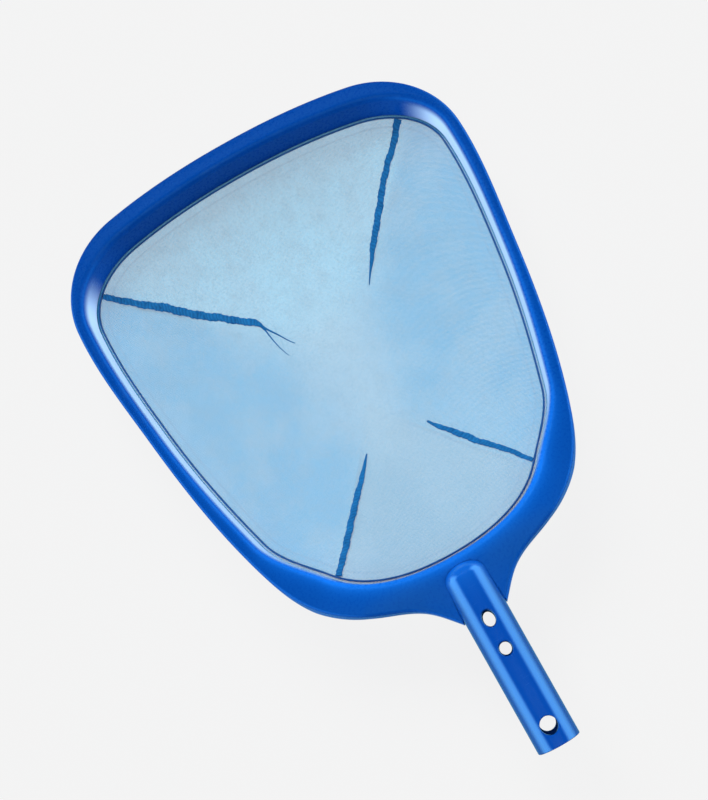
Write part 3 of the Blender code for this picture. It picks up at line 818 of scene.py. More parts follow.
def bead_mesh(path, radius, turns):
    """An overlocked bead round a closed path, a round bead whose radius swells along its wraps.

    The radius is the bead's times 1 + ridge cos(way round + wraps) + half the ridge times
    cos(twice the wraps).
    """
    steps = turns * WRAP_STEPS
    ring = np.vstack((path, path[:1]))
    walked = walked_length(ring)
    along = np.arange(steps) / steps
    centre = np.stack([np.interp(along * walked[-1], walked, ring[:, i]) for i in (0, 1, 2)], -1)
    run = unit(np.roll(centre, -1, axis=0) - np.roll(centre, 1, axis=0))
    beside = unit(np.cross(run, (0.0, 0.0, 1.0)))
    upward = np.cross(beside, run)
    angle = np.arange(BEAD_STEPS) / BEAD_STEPS * math.tau
    wrap = along[:, None] * turns * math.tau
    ridges = WRAP_RIDGE * np.cos(angle + wrap) + 0.5 * WRAP_RIDGE * np.cos(2 * wrap)
    swell = radius * (1 + ridges)
    points = centre[:, None, :] + beside[:, None, :] * (swell * np.cos(angle))[..., None]
    points = points + upward[:, None, :] * (swell * np.sin(angle))[..., None]
    uv = grid_uv(
        np.linspace(0, walked[-1], steps + 1), np.linspace(0, math.tau * radius, BEAD_STEPS + 1)
    )
    return closed_mesh("binding", points, grid_faces(steps, BEAD_STEPS, True, True), uv)


def binding_path():
    """The bead's middle, along the foot of the rim just inside the opening."""
    inset = RIM_DRAFT + BEAD_INSET
    plan = rim_inner - normal_of(opening_edge, rim_u) * inset
    height = Z_HEM + BEAD_RADIUS
    return np.stack((plan[:, 0] * rim_side, plan[:, 1], np.full(len(plan), height)), axis=-1)


# A tape's points, its thread ribs, how far it stands off the cloth at full width, how much of its
# thickness a thin end keeps, and the powers that flatten its oval section.
TAPE_STEPS, TAPE_ROUND_STEPS = 460, 24
TAPE_GIRTH = 0.012
TAPE_RIBS, RIB_HEIGHT, RIB_LEAN = 400, 0.10, 2.4
TAPE_LIFT, FULL_WIDTH, THIN_END = 0.0007, 0.004, 0.35
FLAT_POWER, ROUND_POWER = 0.8, 0.7
EDGE_LEANS = (0.0, 2.3)
EASING = 20
# Waves along a tape: height, turns per metre (per share for the sway), and how many times the
# tape's seed and its edge's lean go into the phase.
SWAYS = ((0.0050, 3.3, 1.0, 0.0), (0.0022, 8.1, 2.0, 0.0))
GATHERS = (
    (0.030, 400, 1.0, 1.0),
    (0.070, 233, 1.7, 1.0),
    (0.100, 78, 0.6, 2.0),
    (0.060, 31, 1.0, -1.0),
)
PUFFS = ((0.16, 110, 1.0, 0.0), (0.12, 47, 3.0, 0.0))


def waves_along(run, terms, seed, lean=0.0):
    """A sum of waves along a run, each phase a share of the seed plus a share of the lean."""
    listed = [
        (height, turns, 0, of_seed * seed + of_lean * lean)
        for height, turns, of_seed, of_lean in terms
    ]
    return waves(run, run * 0, listed)


def eased(values):
    """The values averaged under a raised cosine, with the ends held."""
    window = np.hanning(2 * EASING + 1)
    return np.convolve(np.pad(values, EASING, mode="edge"), window / window.sum(), mode="valid")


def tape_line(dart, side, shares, offset):
    """The tape's middle line on the cloth, and its sideways and upward ways.

    The station is the dart's plus the offset over the share, so a steady offset runs straight.
    """
    station = DARTS[dart] + offset / np.clip(shares, HUB_REACH, 1)
    middle = cloth_place(station, shares, side)
    run = unit(np.gradient(middle, axis=0))
    ahead, behind = station + STATION_STEP, station - STATION_STEP
    beside = unit(net_place(ahead, shares) - net_place(behind, shares))
    upward = unit(np.cross(run, beside))
    upward = upward * np.sign(upward[:, 2:3])
    beside = unit(np.cross(upward, run))
    flip = np.array((side, 1.0, 1.0))
    return middle * flip, beside * flip, upward * flip


def tape_mesh(dart, side, knots, seed):
    """A gathered binding tape: a flat oval section carried down the dart.

    The knots give its share, offset and width.  At angle a the section is (half width times
    cos a to the flat power, half thickness times sin a to the round power); each edge swells
    and shrinks on its own with the gathers, and fine ribs cross it.
    """
    shares = np.linspace(knots[0][0], knots[-1][0], TAPE_STEPS)
    knot_shares, knot_offsets, knot_widths = np.array(knots)[::-1].T
    offset = eased(np.interp(shares, knot_shares, knot_offsets))
    width = eased(np.interp(shares, knot_shares, knot_widths))
    sway = waves_along(shares, SWAYS, seed)
    middle, beside, upward = tape_line(dart, side, shares, offset + sway)
    walked = walked_length(middle)
    full = np.clip(width / FULL_WIDTH, 0, 1)
    right, left = (
        (width / 2 * (1 + waves_along(walked, GATHERS, seed, lean) * full))[:, None]
        for lean in EDGE_LEANS
    )
    angle = np.arange(TAPE_ROUND_STEPS) / TAPE_ROUND_STEPS * math.tau
    flat = np.sign(np.cos(angle)) * np.abs(np.cos(angle)) ** FLAT_POWER
    high = np.sign(np.sin(angle)) * np.abs(np.sin(angle)) ** ROUND_POWER
    half = np.where(flat >= 0, right, left)
    thick = TAPE_THICKNESS / 2 * (1 + waves_along(walked, PUFFS, seed))
    thick = thick * (THIN_END + (1 - THIN_END) * full)
    ribs = np.cos(walked[:, None] * math.tau * TAPE_RIBS + RIB_LEAN * np.cos(angle))
    lifted = middle + upward * (TAPE_LIFT * full)[:, None]
    points = lifted[:, None, :] + beside[:, None, :] * (half * flat)[..., None]
    rise = thick[:, None] * high * (1 + RIB_HEIGHT * ribs)
    points = points + upward[:, None, :] * rise[..., None]
    ends = [lifted[i, None].repeat(TAPE_ROUND_STEPS, 0)[None] for i in (0, -1)]
    points = np.concatenate((ends[0], points, ends[1]))
    lengths = np.concatenate(([0.0], walked, [walked[-1]]))
    uv = grid_uv(lengths, np.linspace(0, TAPE_GIRTH, TAPE_ROUND_STEPS + 1))
    return closed_mesh("tape", points, grid_faces(len(points), TAPE_ROUND_STEPS, False, True), uv)


# ---- fasteners ------------------------------------------------------------------------------

DOME_SHARE = 0.55
POINT_LENGTH, POINT_RADIUS_SHARE, POINT_TIP = 2.4 * SCREW_RADIUS, 0.4, 0.0006
RECESS_LENGTH, RECESS_WIDTH, RECESS_DEPTH, RECESS_PROUD = 0.0027, 0.00055, 0.0011, 0.0003
SCREW_DOME_STEPS, SCREW_TURN_STEPS = 9, 48


def screw_mesh():
    """A pan-head screw at the origin: a quarter-oval head below, shank and point above.

    With it comes what its cross recess takes out of the head, two crossed bars.
    """
    head, height, shank, tall = SCREW_HEAD_RADIUS, SCREW_HEAD_HEIGHT, SCREW_RADIUS, SCREW_LENGTH
    turn = np.radians(np.linspace(0, 90, SCREW_DOME_STEPS))
    shank_radii = (head, shank, shank, shank * POINT_RADIUS_SHARE, 0.0)
    radii = np.concatenate((head * np.sin(turn), shank_radii))
    shank_heights = (height, height, tall - POINT_LENGTH, tall - POINT_TIP, tall)
    heights = np.concatenate((height * DOME_SHARE * (1 - np.cos(turn)), shank_heights))
    body = turned(radii[::-1], heights[::-1], SCREW_TURN_STEPS, (0, 0, 0), "screw")
    arms = bmesh.new()
    lift = Vector((0, 0, RECESS_DEPTH / 2 - RECESS_PROUD))
    for plan in ((RECESS_WIDTH, RECESS_LENGTH), (RECESS_LENGTH, RECESS_WIDTH)):
        made = bmesh.ops.create_cube(arms, size=1.0)["verts"]
        bmesh.ops.scale(arms, verts=made, vec=Vector((*plan, RECESS_DEPTH)))
        bmesh.ops.translate(arms, verts=made, vec=lift)
    recess = bpy.data.meshes.new("recess")
    arms.to_mesh(recess)
    arms.free()
    return body, recess


# ---- materials ------------------------------------------------------------------------------

WORN_BLUE = (0.25, 0.60, 1.0, 1.0)
# Painted light for the near band and dome, a painted pale reflection for the inner flanks, painted
# shade for the hole walls.
PAINTED_LIGHT_BLUE = (0.006, 0.175, 0.78, 1.0)
FLANK_PAINTED_REFLECTION = (0.54, 0.76, 1.0, 1.0)
HOLE_PAINTED_SHADE = (0.0002, 0.012, 0.08, 1.0)
# The net's panels in painted shading, and a pale tone for the painted lighter middle and its
# random clouds.
NET_SIDE_PAINTED_SHADING = (0.050, 0.37, 0.63, 1.0)
NET_FAR_PAINTED_SHADING = (0.24, 0.60, 0.80, 1.0)
NET_NEAR_PAINTED_SHADING = (0.135, 0.375, 0.55, 1.0)
NET_PALE_TONE_AND_LIT_MIDDLE = (0.26, 0.50, 0.66, 1.0)
NET_MOTTLE = (0.10, 0.30, 0.46, 1.0)
NET_SPECK = (0.06, 0.26, 0.46, 1.0)
NET_FOLD_SHADE = (0.05, 0.22, 0.42, 1.0)
CORD_WHITE, CORD_GREY = (0.80, 0.82, 0.84, 1.0), (0.66, 0.69, 0.72, 1.0)
STEEL_BRIGHT, STEEL_DULL = (0.70, 0.70, 0.71, 1.0), (0.52, 0.52, 0.54, 1.0)
# How far into the cloth from the rim's ledge the fold's painted shade line lies.
FOLD_SHADE_INSET = 0.0055
GRAIN_HEIGHT, KNIT_HEIGHT, RIB_BUMP = 0.00001, 0.00012, 0.0001
# How far flow marks tone the plastic, and what scuffs and wear do to colour, roughness and height.
FLOW_SWING, FLOW_BASE = 0.12, 0.94
WORN_SHARE, SCUFF_WEAR, SCUFF_ROUGHNESS, SCUFF_DEPTH = 0.18, 0.12, 0.16, 0.8
PEBBLE_ROUGHNESS, PEBBLE_MIDDLE = 0.10, 0.05
SPARK_SHARE, PEBBLE_SHARE = 0.35, 0.65
# How much painted pale reflection the flanks take, how much painted shade the hole walls take, and
# how much smoother the flanks are.
FLANK_REFLECTION_SHARE, HOLE_SHADE_SHARE, FLANK_SMOOTHING = 0.72, 0.85, 0.12
# Where a yarn's swing counts as yarn, and how much of the surface yarn and gaps cover.
YARN_LOW, YARN_HIGH = 0.92, 1.08
YARN_COVER, GAP_COVER = 0.72, 0.22
# How ribs slant and wander, how fibres roughen them, and how ribs and patches shade the thread.
RIB_SLANT, RIB_WANDER, FIBRE_SHARE = 0.6, 2.5, 0.35
RIB_SHADE, PATCH_SHADE, SHADE_LOSS = 0.30, 0.85, 0.05
THREAD_ROUGHNESS_SWING, THREAD_ROUGHNESS_LOSS = 0.15, 0.08


def add_node(tree, kind, inputs=None, **settings):
    """A node with its settings, its inputs linked from sockets or set to values."""
    made = tree.nodes.new(kind)
    for key, value in settings.items():
        setattr(made, key, value)
    for key, value in (inputs or {}).items():
        if isinstance(value, bpy.types.NodeSocket):
            tree.links.new(value, made.inputs[key])
        else:
            made.inputs[key].default_value = value
    return made


def math_node(tree, operation, a, b=None, c=None, clamp=False):
    """The result of a sum on up to three values or sockets."""
    inputs = {0: a}
    if b is not None:
        inputs[1] = b
    if c is not None:
        inputs[2] = c
    made = add_node(tree, "ShaderNodeMath", inputs, operation=operation, use_clamp=clamp)
    return made.outputs[0]


def ramp(tree, value, low, high, to_low=0.0, to_high=1.0):
    """A value carried smoothly from one range to another and held at its ends."""
    made = add_node(
        tree,
        "ShaderNodeMapRange",
        {"Value": value, "From Min": low, "From Max": high, "To Min": to_low, "To Max": to_high},
        interpolation_type="SMOOTHSTEP",
    )
    return made.outputs[0]


def mix_colour(tree, share, a, b):
    """Colour a carried to colour b by the share."""
    made = add_node(tree, "ShaderNodeMix", data_type="RGBA")
    for index, value in ((0, share), (6, a), (7, b)):
        if isinstance(value, bpy.types.NodeSocket):
            tree.links.new(value, made.inputs[index])
        else:
            made.inputs[index].default_value = value
    return made.outputs[2]


def noise(tree, vector, scale, detail=2.0, rough=0.5, distortion=0.0):
    """Cloudy noise between 0 and 1, with scale clouds to the metre."""
    inputs = {"Vector": vector, "Scale": scale, "Detail": detail, "Roughness": rough}
    inputs["Distortion"] = distortion
    return add_node(tree, "ShaderNodeTexNoise", inputs).outputs[0]


def mark_of(tree, mark):
    """The value that the mesh carries under the mark's name."""
    return add_node(tree, "ShaderNodeAttribute", attribute_name=mark).outputs["Fac"]


def stretched(tree, vector, scale, turn=(0.0, 0.0, 0.0)):
    """The vector turned and then scaled unevenly, for marks that run one way."""
    inputs = {"Vector": vector, "Rotation": turn, "Scale": scale}
    return add_node(tree, "ShaderNodeMapping", inputs).outputs[0]


def new_group(name, inputs, outputs):
    """An empty node group with its sockets: (name, kind, default)."""
    group = bpy.data.node_groups.new(name, "ShaderNodeTree")
    for label, kind, value in inputs:
        socket = group.interface.new_socket(label, in_out="INPUT", socket_type=kind)
        if value is not None:
            socket.default_value = value
    for label, kind in outputs:
        group.interface.new_socket(label, in_out="OUTPUT", socket_type=kind)
    return group, group.nodes.new("NodeGroupInput"), group.nodes.new("NodeGroupOutput")


FLOAT, COLOUR, VECTOR = "NodeSocketFloat", "NodeSocketColor", "NodeSocketVector"


def moulded_group():
    """Moulded plastic: fine spark grain, slow flow marks and a few hairline scuffs."""
    group, given, out = new_group(
        "moulded_plastic",
        (
            ("Vector", VECTOR, None),
            ("Colour", COLOUR, (0.0, 0.1, 0.5, 1.0)),
            ("Roughness", FLOAT, 0.3),
            ("Grain", FLOAT, 1.0),
            ("Wear", FLOAT, 0.0),
        ),
        (("Colour", COLOUR), ("Roughness", FLOAT), ("Height", FLOAT)),
    )
    vector = given.outputs["Vector"]
    spark = noise(group, vector, scale=1500.0, detail=3.0, rough=0.6)
    pebble = noise(group, vector, scale=520.0)
    flow_way = stretched(group, vector, scale=(9.0, 22.0, 30.0))
    flow = noise(group, flow_way, scale=1.0, detail=3.0, rough=0.55, distortion=0.6)
    scuff_way = stretched(group, vector, scale=(90.0, 1700.0, 300.0), turn=(0.0, 0.0, 0.65))
    scuff = ramp(group, noise(group, scuff_way, scale=1.0), 0.66, 0.74)
    patch = ramp(group, noise(group, vector, scale=26.0), 0.50, 0.62)
    scuff = math_node(group, "MULTIPLY", scuff, patch)
    tone = math_node(group, "MULTIPLY_ADD", flow, FLOW_SWING, FLOW_BASE)
    tinted = add_node(
        group, "ShaderNodeVectorMath", {0: given.outputs["Colour"], 3: tone}, operation="SCALE"
    ).outputs[0]
    pale = mix_colour(group, WORN_SHARE, given.outputs["Colour"], WORN_BLUE)
    wear = given.outputs["Wear"]
    worn = math_node(group, "MULTIPLY_ADD", scuff, SCUFF_WEAR, wear, clamp=True)
    group.links.new(mix_colour(group, worn, tinted, pale), out.inputs["Colour"])
    rough = given.outputs["Roughness"]
    rough = math_node(group, "MULTIPLY_ADD", pebble, PEBBLE_ROUGHNESS, rough)
    rough = math_node(group, "MULTIPLY_ADD", scuff, SCUFF_ROUGHNESS, rough)
    rough = math_node(group, "SUBTRACT", rough, PEBBLE_MIDDLE)
    group.links.new(rough, out.inputs["Roughness"])
    pebbles = math_node(group, "MULTIPLY", pebble, PEBBLE_SHARE)
    height = math_node(group, "MULTIPLY_ADD", spark, SPARK_SHARE, pebbles)
    height = math_node(group, "MULTIPLY", height, given.outputs["Grain"])
    height = math_node(group, "MULTIPLY_ADD", scuff, -SCUFF_DEPTH, height)
    group.links.new(height, out.inputs["Height"])
    return group


def wear_group():
    """Edge wear: a mask where an edge mark is high and a patchy noise lets it show."""
    group, given, out = new_group(
        "edge_wear",
        (("Vector", VECTOR, None), ("Edge", FLOAT, 0.0), ("Amount", FLOAT, 0.5)),
        (("Mask", FLOAT),),
    )
    blotch = noise(group, given.outputs["Vector"], scale=60.0, detail=4.0, rough=0.65)
    patch = ramp(group, blotch, 0.40, 0.72)
    mask = math_node(group, "MULTIPLY", patch, given.outputs["Edge"])
    mask = math_node(group, "MULTIPLY", mask, given.outputs["Amount"], clamp=True)
    group.links.new(mask, out.inputs["Mask"])
    return group


def knit_group():
    """Fine knitted mesh: two thin yarns that cross slantwise, as a cover mask and a height."""
    group, given, out = new_group(
        "knit_mesh",
        (("Vector", VECTOR, None), ("Pitch", FLOAT, 0.0009), ("Yarn", FLOAT, 0.5)),
        (("Cover", FLOAT), ("Height", FLOAT)),
    )
    warp = noise(group, given.outputs["Vector"], scale=260.0)
    split = add_node(group, "ShaderNodeSeparateXYZ", {0: given.outputs["Vector"]})
    x, y = split.outputs[0], split.outputs[1]
    across = math_node(group, "ADD", x, y)
    beside = math_node(group, "SUBTRACT", x, y)
    yarns = []
    for way in (across, beside):
        turns = math_node(group, "DIVIDE", way, given.outputs["Pitch"])
        turns = math_node(group, "ADD", warp, turns)
        swing = math_node(group, "SINE", math_node(group, "MULTIPLY", turns, math.tau))
        yarns.append(math_node(group, "MULTIPLY_ADD", swing, 0.5, 0.5))
    thick = math_node(group, "MAXIMUM", yarns[0], yarns[1])
    low = math_node(group, "SUBTRACT", YARN_LOW, given.outputs["Yarn"])
    high = math_node(group, "SUBTRACT", YARN_HIGH, given.outputs["Yarn"])
    group.links.new(ramp(group, thick, low, high), out.inputs["Cover"])
    group.links.new(thick, out.inputs["Height"])
    return group


def thread_group():
    """Ribbed thread cloth on lengths: slanted ribs along u, fibre noise, and a shade mask."""
    group, given, out = new_group(
        "thread_ribs",
        (("Vector", VECTOR, None), ("Place", VECTOR, None), ("Ribs", FLOAT, 900.0)),
        (("Shade", FLOAT), ("Height", FLOAT)),
    )
    split = add_node(group, "ShaderNodeSeparateXYZ", {0: given.outputs["Vector"]})
    lean = math_node(group, "MULTIPLY_ADD", split.outputs[1], RIB_SLANT, split.outputs[0])
    fibre = noise(group, given.outputs["Place"], scale=4200.0)
    patch = noise(group, given.outputs["Place"], scale=170.0, detail=3.0, rough=0.6)
    turns = math_node(group, "MULTIPLY", lean, given.outputs["Ribs"])
    turns = math_node(group, "MULTIPLY_ADD", patch, RIB_WANDER, turns)
    swing = math_node(group, "SINE", math_node(group, "MULTIPLY", turns, math.tau))
    rib = math_node(group, "MULTIPLY_ADD", swing, 0.5, 0.5)
    height = math_node(group, "MULTIPLY_ADD", fibre, FIBRE_SHARE, rib)
    group.links.new(height, out.inputs["Height"])
    shade = math_node(group, "MULTIPLY", rib, RIB_SHADE)
    shade = math_node(group, "MULTIPLY_ADD", patch, PATCH_SHADE, shade)
    shade = math_node(group, "SUBTRACT", shade, SHADE_LOSS, clamp=True)
    group.links.new(shade, out.inputs["Shade"])
    return group


MOULDED, WEAR, KNIT, THREAD = moulded_group(), wear_group(), knit_group(), thread_group()


def start_material(name, **constants):
    """A material with its shader's plain values set, and its tree, shader and object place."""
    material = bpy.data.materials.new(name)
    material.use_nodes = True
    tree = material.node_tree
    shader = tree.nodes["Principled BSDF"]
    for label, value in constants.items():
        shader.inputs[label.replace("_", " ")].default_value = value
    place = add_node(tree, "ShaderNodeTexCoord").outputs["Object"]
    return material, tree, shader, place


def use_group(tree, group, inputs):
    """The outputs of the group, placed with these inputs."""
    return add_node(tree, "ShaderNodeGroup", inputs, node_tree=group).outputs


def bump(tree, shader, height, distance):
    """A bump on the shader's normal, as high as the distance in metres where height is 1."""
    made = add_node(
        tree, "ShaderNodeBump", {"Height": height, "Distance": distance, "Strength": 1.0}
    )
    tree.links.new(made.outputs[0], shader.inputs["Normal"])


def plastic_material(name, colour, roughness, grain, wear, specular, tint, coat, coat_ior):
    """Moulded plastic with spark grain, patchy wear on its edges, and its marks' painted light,
    painted reflection and painted shade.
    """
    material, tree, shader, place = start_material(
        name,
        Specular_IOR_Level=specular,
        Specular_Tint=(*tint, 1.0),
        Coat_Weight=coat,
        Coat_Roughness=0.12,
        Coat_IOR=coat_ior,
    )
    gloss_and_painted_reflection, edge, painted_light, hole_shade = (
        mark_of(tree, mark) for mark in ("gloss_and_painted_reflection", "edge", "painted_light", "hole_shade")
    )
    worn = use_group(tree, WEAR, {"Vector": place, "Edge": edge, "Amount": wear})["Mask"]
    inputs = {"Colour": (*colour, 1.0), "Roughness": roughness, "Grain": grain}
    made = use_group(tree, MOULDED, {"Vector": place, "Wear": worn, **inputs})
    body = made["Colour"]
    # Painted light, the flanks' painted reflection and the hole walls' painted shade, mixed into
    # the body colour by their marks.
    for mark, most, blue in (
        (painted_light, 1.0, PAINTED_LIGHT_BLUE),
        (gloss_and_painted_reflection, FLANK_REFLECTION_SHARE, FLANK_PAINTED_REFLECTION),
        (hole_shade, HOLE_SHADE_SHARE, HOLE_PAINTED_SHADE),
    ):
        body = mix_colour(tree, math_node(tree, "MULTIPLY", mark, most), body, blue)
    tree.links.new(body, shader.inputs["Base Color"])
    smooth = math_node(tree, "MULTIPLY_ADD", gloss_and_painted_reflection, -FLANK_SMOOTHING, made["Roughness"])
    tree.links.new(smooth, shader.inputs["Roughness"])
    bump(tree, shader, made["Height"], GRAIN_HEIGHT)
    return material


def net_material():
    """Pale blue see-through knit with painted shading: greyer far and near panels, bluer sides, a
    painted lighter middle and a painted shade line along the fold near the rim.
    """
    material, tree, shader, place = start_material(
        "net_mesh_look",
        Sheen_Weight=0.15,
        Sheen_Roughness=0.5,
        Specular_IOR_Level=0.25,
        Roughness=0.62,
    )
    knit = use_group(tree, KNIT, {"Vector": place, "Pitch": 0.0011, "Yarn": 0.42})
    far, near, reach, from_rim = (
        mark_of(tree, mark) for mark in ("far", "near", "reach", "from_rim")
    )
    cloud = noise(tree, place, scale=22.0, detail=3.0, rough=0.55)
    mottle = noise(tree, place, scale=90.0, detail=3.0, rough=0.6)
    speck = noise(tree, place, scale=620.0, detail=3.0, rough=0.7)
    # Distance from the fold, where a line of painted shade falls.
    beside_fold = math_node(tree, "ABSOLUTE", math_node(tree, "SUBTRACT", from_rim, FOLD_SHADE_INSET))
    # Painted panel shading, a painted lighter middle, random pale clouds, mottle and specks, and
    # the fold's painted shade line.
    body = NET_SIDE_PAINTED_SHADING
    for share, blue in (
        (far, NET_FAR_PAINTED_SHADING),
        (near, NET_NEAR_PAINTED_SHADING),
        (ramp(tree, reach, 0.05, 0.45, 0.75, 0.0), NET_PALE_TONE_AND_LIT_MIDDLE),
        (ramp(tree, cloud, 0.42, 0.66, 0.0, 0.35), NET_PALE_TONE_AND_LIT_MIDDLE),
        (ramp(tree, mottle, 0.40, 0.70, 0.0, 0.22), NET_MOTTLE),
        (ramp(tree, speck, 0.42, 0.70, 0.0, 0.40), NET_SPECK),
        (ramp(tree, beside_fold, 0.0003, 0.0010, 0.30, 0.0), NET_FOLD_SHADE),
    ):
        body = mix_colour(tree, share, body, blue)
    tree.links.new(body, shader.inputs["Base Color"])
    cover = math_node(tree, "MULTIPLY_ADD", knit["Cover"], YARN_COVER, GAP_COVER)
    tree.links.new(cover, shader.inputs["Alpha"])
    bump(tree, shader, knit["Height"], KNIT_HEIGHT)
    return material


def thread_material(name, dark, light, ribs, roughness):
    """Dyed thread: ribs on the piece's own lengths, darker between them."""
    material, tree, shader, place = start_material(
        name, Sheen_Weight=0.05, Sheen_Roughness=0.4, Specular_IOR_Level=0.3
    )
    run = add_node(tree, "ShaderNodeUVMap", uv_map="run").outputs[0]
    made = use_group(tree, THREAD, {"Vector": run, "Place": place, "Ribs": ribs})
    colour = mix_colour(tree, made["Shade"], (*dark, 1.0), (*light, 1.0))
    tree.links.new(colour, shader.inputs["Base Color"])
    smoothest = roughness - THREAD_ROUGHNESS_LOSS
    rough = math_node(tree, "MULTIPLY_ADD", made["Shade"], THREAD_ROUGHNESS_SWING, smoothest)
    tree.links.new(rough, shader.inputs["Roughness"])
    bump(tree, shader, made["Height"], RIB_BUMP)
    return material


def cord_material():
    """Braided fibre cord, off-white, with strands crossing on its place."""
    material, tree, shader, place = start_material("hem_cord_look", Specular_IOR_Level=0.3)
    braid = use_group(tree, KNIT, {"Vector": place, "Pitch": 0.0008, "Yarn": 0.5})
    dust = ramp(tree, noise(tree, place, scale=120.0, detail=3.0), 0.4, 0.7)
    colour = mix_colour(tree, dust, CORD_WHITE, CORD_GREY)
    tree.links.new(colour, shader.inputs["Base Color"])
    tree.links.new(ramp(tree, dust, 0.0, 1.0, 0.72, 0.88), shader.inputs["Roughness"])
    bump(tree, shader, braid["Height"], RIB_BUMP)
    return material


def steel_material():
    """Bright steel: fine drawn lines and handling smudges."""
    material, tree, shader, place = start_material("screw_steel_look", Metallic=1.0)
    smudge = noise(tree, place, scale=420.0, detail=3.0, rough=0.6)
    hair = noise(tree, stretched(tree, place, scale=(6000.0, 900.0, 2500.0)), scale=1.0)
    colour = mix_colour(tree, ramp(tree, smudge, 0.35, 0.7), STEEL_BRIGHT, STEEL_DULL)
    tree.links.new(colour, shader.inputs["Base Color"])
    rough = math_node(tree, "MULTIPLY_ADD", smudge, 0.25, 0.18)
    tree.links.new(rough, shader.inputs["Roughness"])
    bump(tree, shader, hair, GRAIN_HEIGHT)
    return material


# ---- the pieces -----------------------------------------------------------------------------

frame_look = plastic_material(
    "frame_plastic_look",
    colour=(0.0001, 0.040, 0.245),
    roughness=0.28,
    grain=1.0,
    wear=0.08,
    specular=0.30,
    tint=(0.2, 0.75, 1.0),
    coat=0.0,
    coat_ior=1.5,
)
cover_look = plastic_material(
    "cover_plastic_look",
    colour=(0.0006, 0.062, 0.38),
    roughness=0.38,
    grain=1.4,
    wear=0.35,
    specular=0.5,
    tint=(0.5, 0.85, 1.0),
    coat=0.0,
    coat_ior=1.5,
)
handle_look = plastic_material(
    "handle_plastic_look",
    colour=(0.0003, 0.063, 0.39),
    roughness=0.24,
    grain=0.6,
    wear=0.20,
    specular=0.5,
    tint=(0.4, 0.80, 1.0),
    coat=1.0,
    coat_ior=1.6,
)
net_look = net_material()
tape_look = thread_material(
    "tape_fabric_look",
    dark=(0.001, 0.035, 0.13),
    light=(0.014, 0.20, 0.50),
    ribs=400.0,
    roughness=0.8,
)
binding_look = thread_material(
    "binding_thread_look",
    dark=(0.006, 0.05, 0.16),
    light=(0.02, 0.12, 0.34),
    ribs=700.0,
    roughness=0.75,
)
cord_look = cord_material()
steel_look = steel_material()


CREASE, NO_CREASE, THREAD_CREASE = 35.0, 180.0, 80.0


def place_piece(name, mesh, look, nodes, sharp_degrees=CREASE):
    """Show a piece in the nodes' stead, riding on the one body, with its finish and slot."""
    made = add_object(name, mesh, sharp_degrees)
    mesh.materials.clear()
    mesh.materials.append(look)
    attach(made, "root")
    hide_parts(*nodes)
    return made


places = screw_places()

shell = cut_away(shell_mesh(), tube_seat())
shell = joined([shell] + [boss_mesh(place) for place in places], "shell")
shell = place_piece("moulded_shell", shell, frame_look, ["frame_shell"])

cover = cut_away(cover_mesh(), joined([sink_mesh(place) for place in places], "sinks"))
cover = joined([cover, cradle_mesh()], "cover")
place_piece("bottom_cover", cover, cover_look, ["frame_cover"])

place_piece("socket_tube", tube_mesh(), handle_look, ["handle_tube"])

net = place_piece("mesh_bag", net_mesh(), net_look, ["net_bag"], NO_CREASE)

binding = place_piece(
    "overlocked_binding",
    bead_mesh(binding_path(), BEAD_RADIUS, BINDING_WRAPS),
    binding_look,
    ["edge_binding"],
    THREAD_CREASE,
)

# Each tape, from the rim inwards: share of the way out from the hub, offset from its dart in
# stations times the share, and width.
TAPES = {
    "far_left": (
        (1.0, 0.080, 0.0042),
        (0.75, 0.003, 0.0062),
        (0.50, -0.076, 0.0056),
        (0.385, -0.112, 0.0050),
        (0.365, -0.097, 0.0016),
        (0.200, 0.004, 0.0005),
    ),
    "far_right": (
        (1.0, -0.085, 0.0052),
        (0.91, -0.080, 0.0048),
        (0.825, -0.095, 0.0046),
        (0.62, -0.045, 0.0050),
        (0.515, -0.023, 0.0050),
        (0.45, 0.010, 0.0036),
        (0.39, 0.035, 0.0018),
        (0.33, 0.058, 0.0006),
    ),
    "near_left": (
        (1.0, 0.100, 0.0040),
        (0.73, 0.100, 0.0046),
        (0.555, 0.122, 0.0042),
        (0.425, 0.168, 0.0034),
        (0.300, 0.198, 0.0010),
    ),
    "near_right": (
        (1.0, -0.130, 0.0028),
        (0.90, -0.139, 0.0032),
        (0.77, -0.137, 0.0038),
        (0.60, -0.110, 0.0044),
        (0.46, -0.100, 0.0032),
        (0.385, -0.096, 0.0014),
    ),
}
# The second, shorter fold that the far left tape's inner end runs out into.
FAR_LEFT_FOLD = ((0.385, -0.100, 0.0014), (0.34, -0.050, 0.0012), (0.24, 0.105, 0.0004))
SEED_STEP, FOLD_SEED = 1.3, 3.1
for number, (hand, knots) in enumerate(TAPES.items(), start=1):
    dart, way = hand.split("_")
    side = 1.0 if way == "right" else -1.0
    mesh = tape_mesh(dart, side, knots, SEED_STEP * number)
    if hand == "far_left":
        mesh = joined([mesh, tape_mesh(dart, side, FAR_LEFT_FOLD, FOLD_SEED)], "tape")
    name, node = f"gathered_tape_{hand}", f"dart_tape_{hand}"
    place_piece(name, mesh, tape_look, [node], THREAD_CREASE)

SCREW_TURN = 1.7
screw = cut_away(*screw_mesh())
for number, (x, y) in enumerate(places, start=1):
    name, node = f"pan_screw_{number:02d}", f"cover_screw_{number:02d}"
    mesh = screw.copy()
    turn = Matrix.Rotation(SCREW_TURN * number, 4, "Z")
    mesh.transform(Matrix.Translation((x, y, Z_UNDER + CLEARANCE)) @ turn)
    place_piece(name, mesh, steel_look, [node])

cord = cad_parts["hem_cord"]
for finish in cord.material_slots:
    finish.material = cord_look

# ---- floor, lights and camera ---------------------------------------------------------------

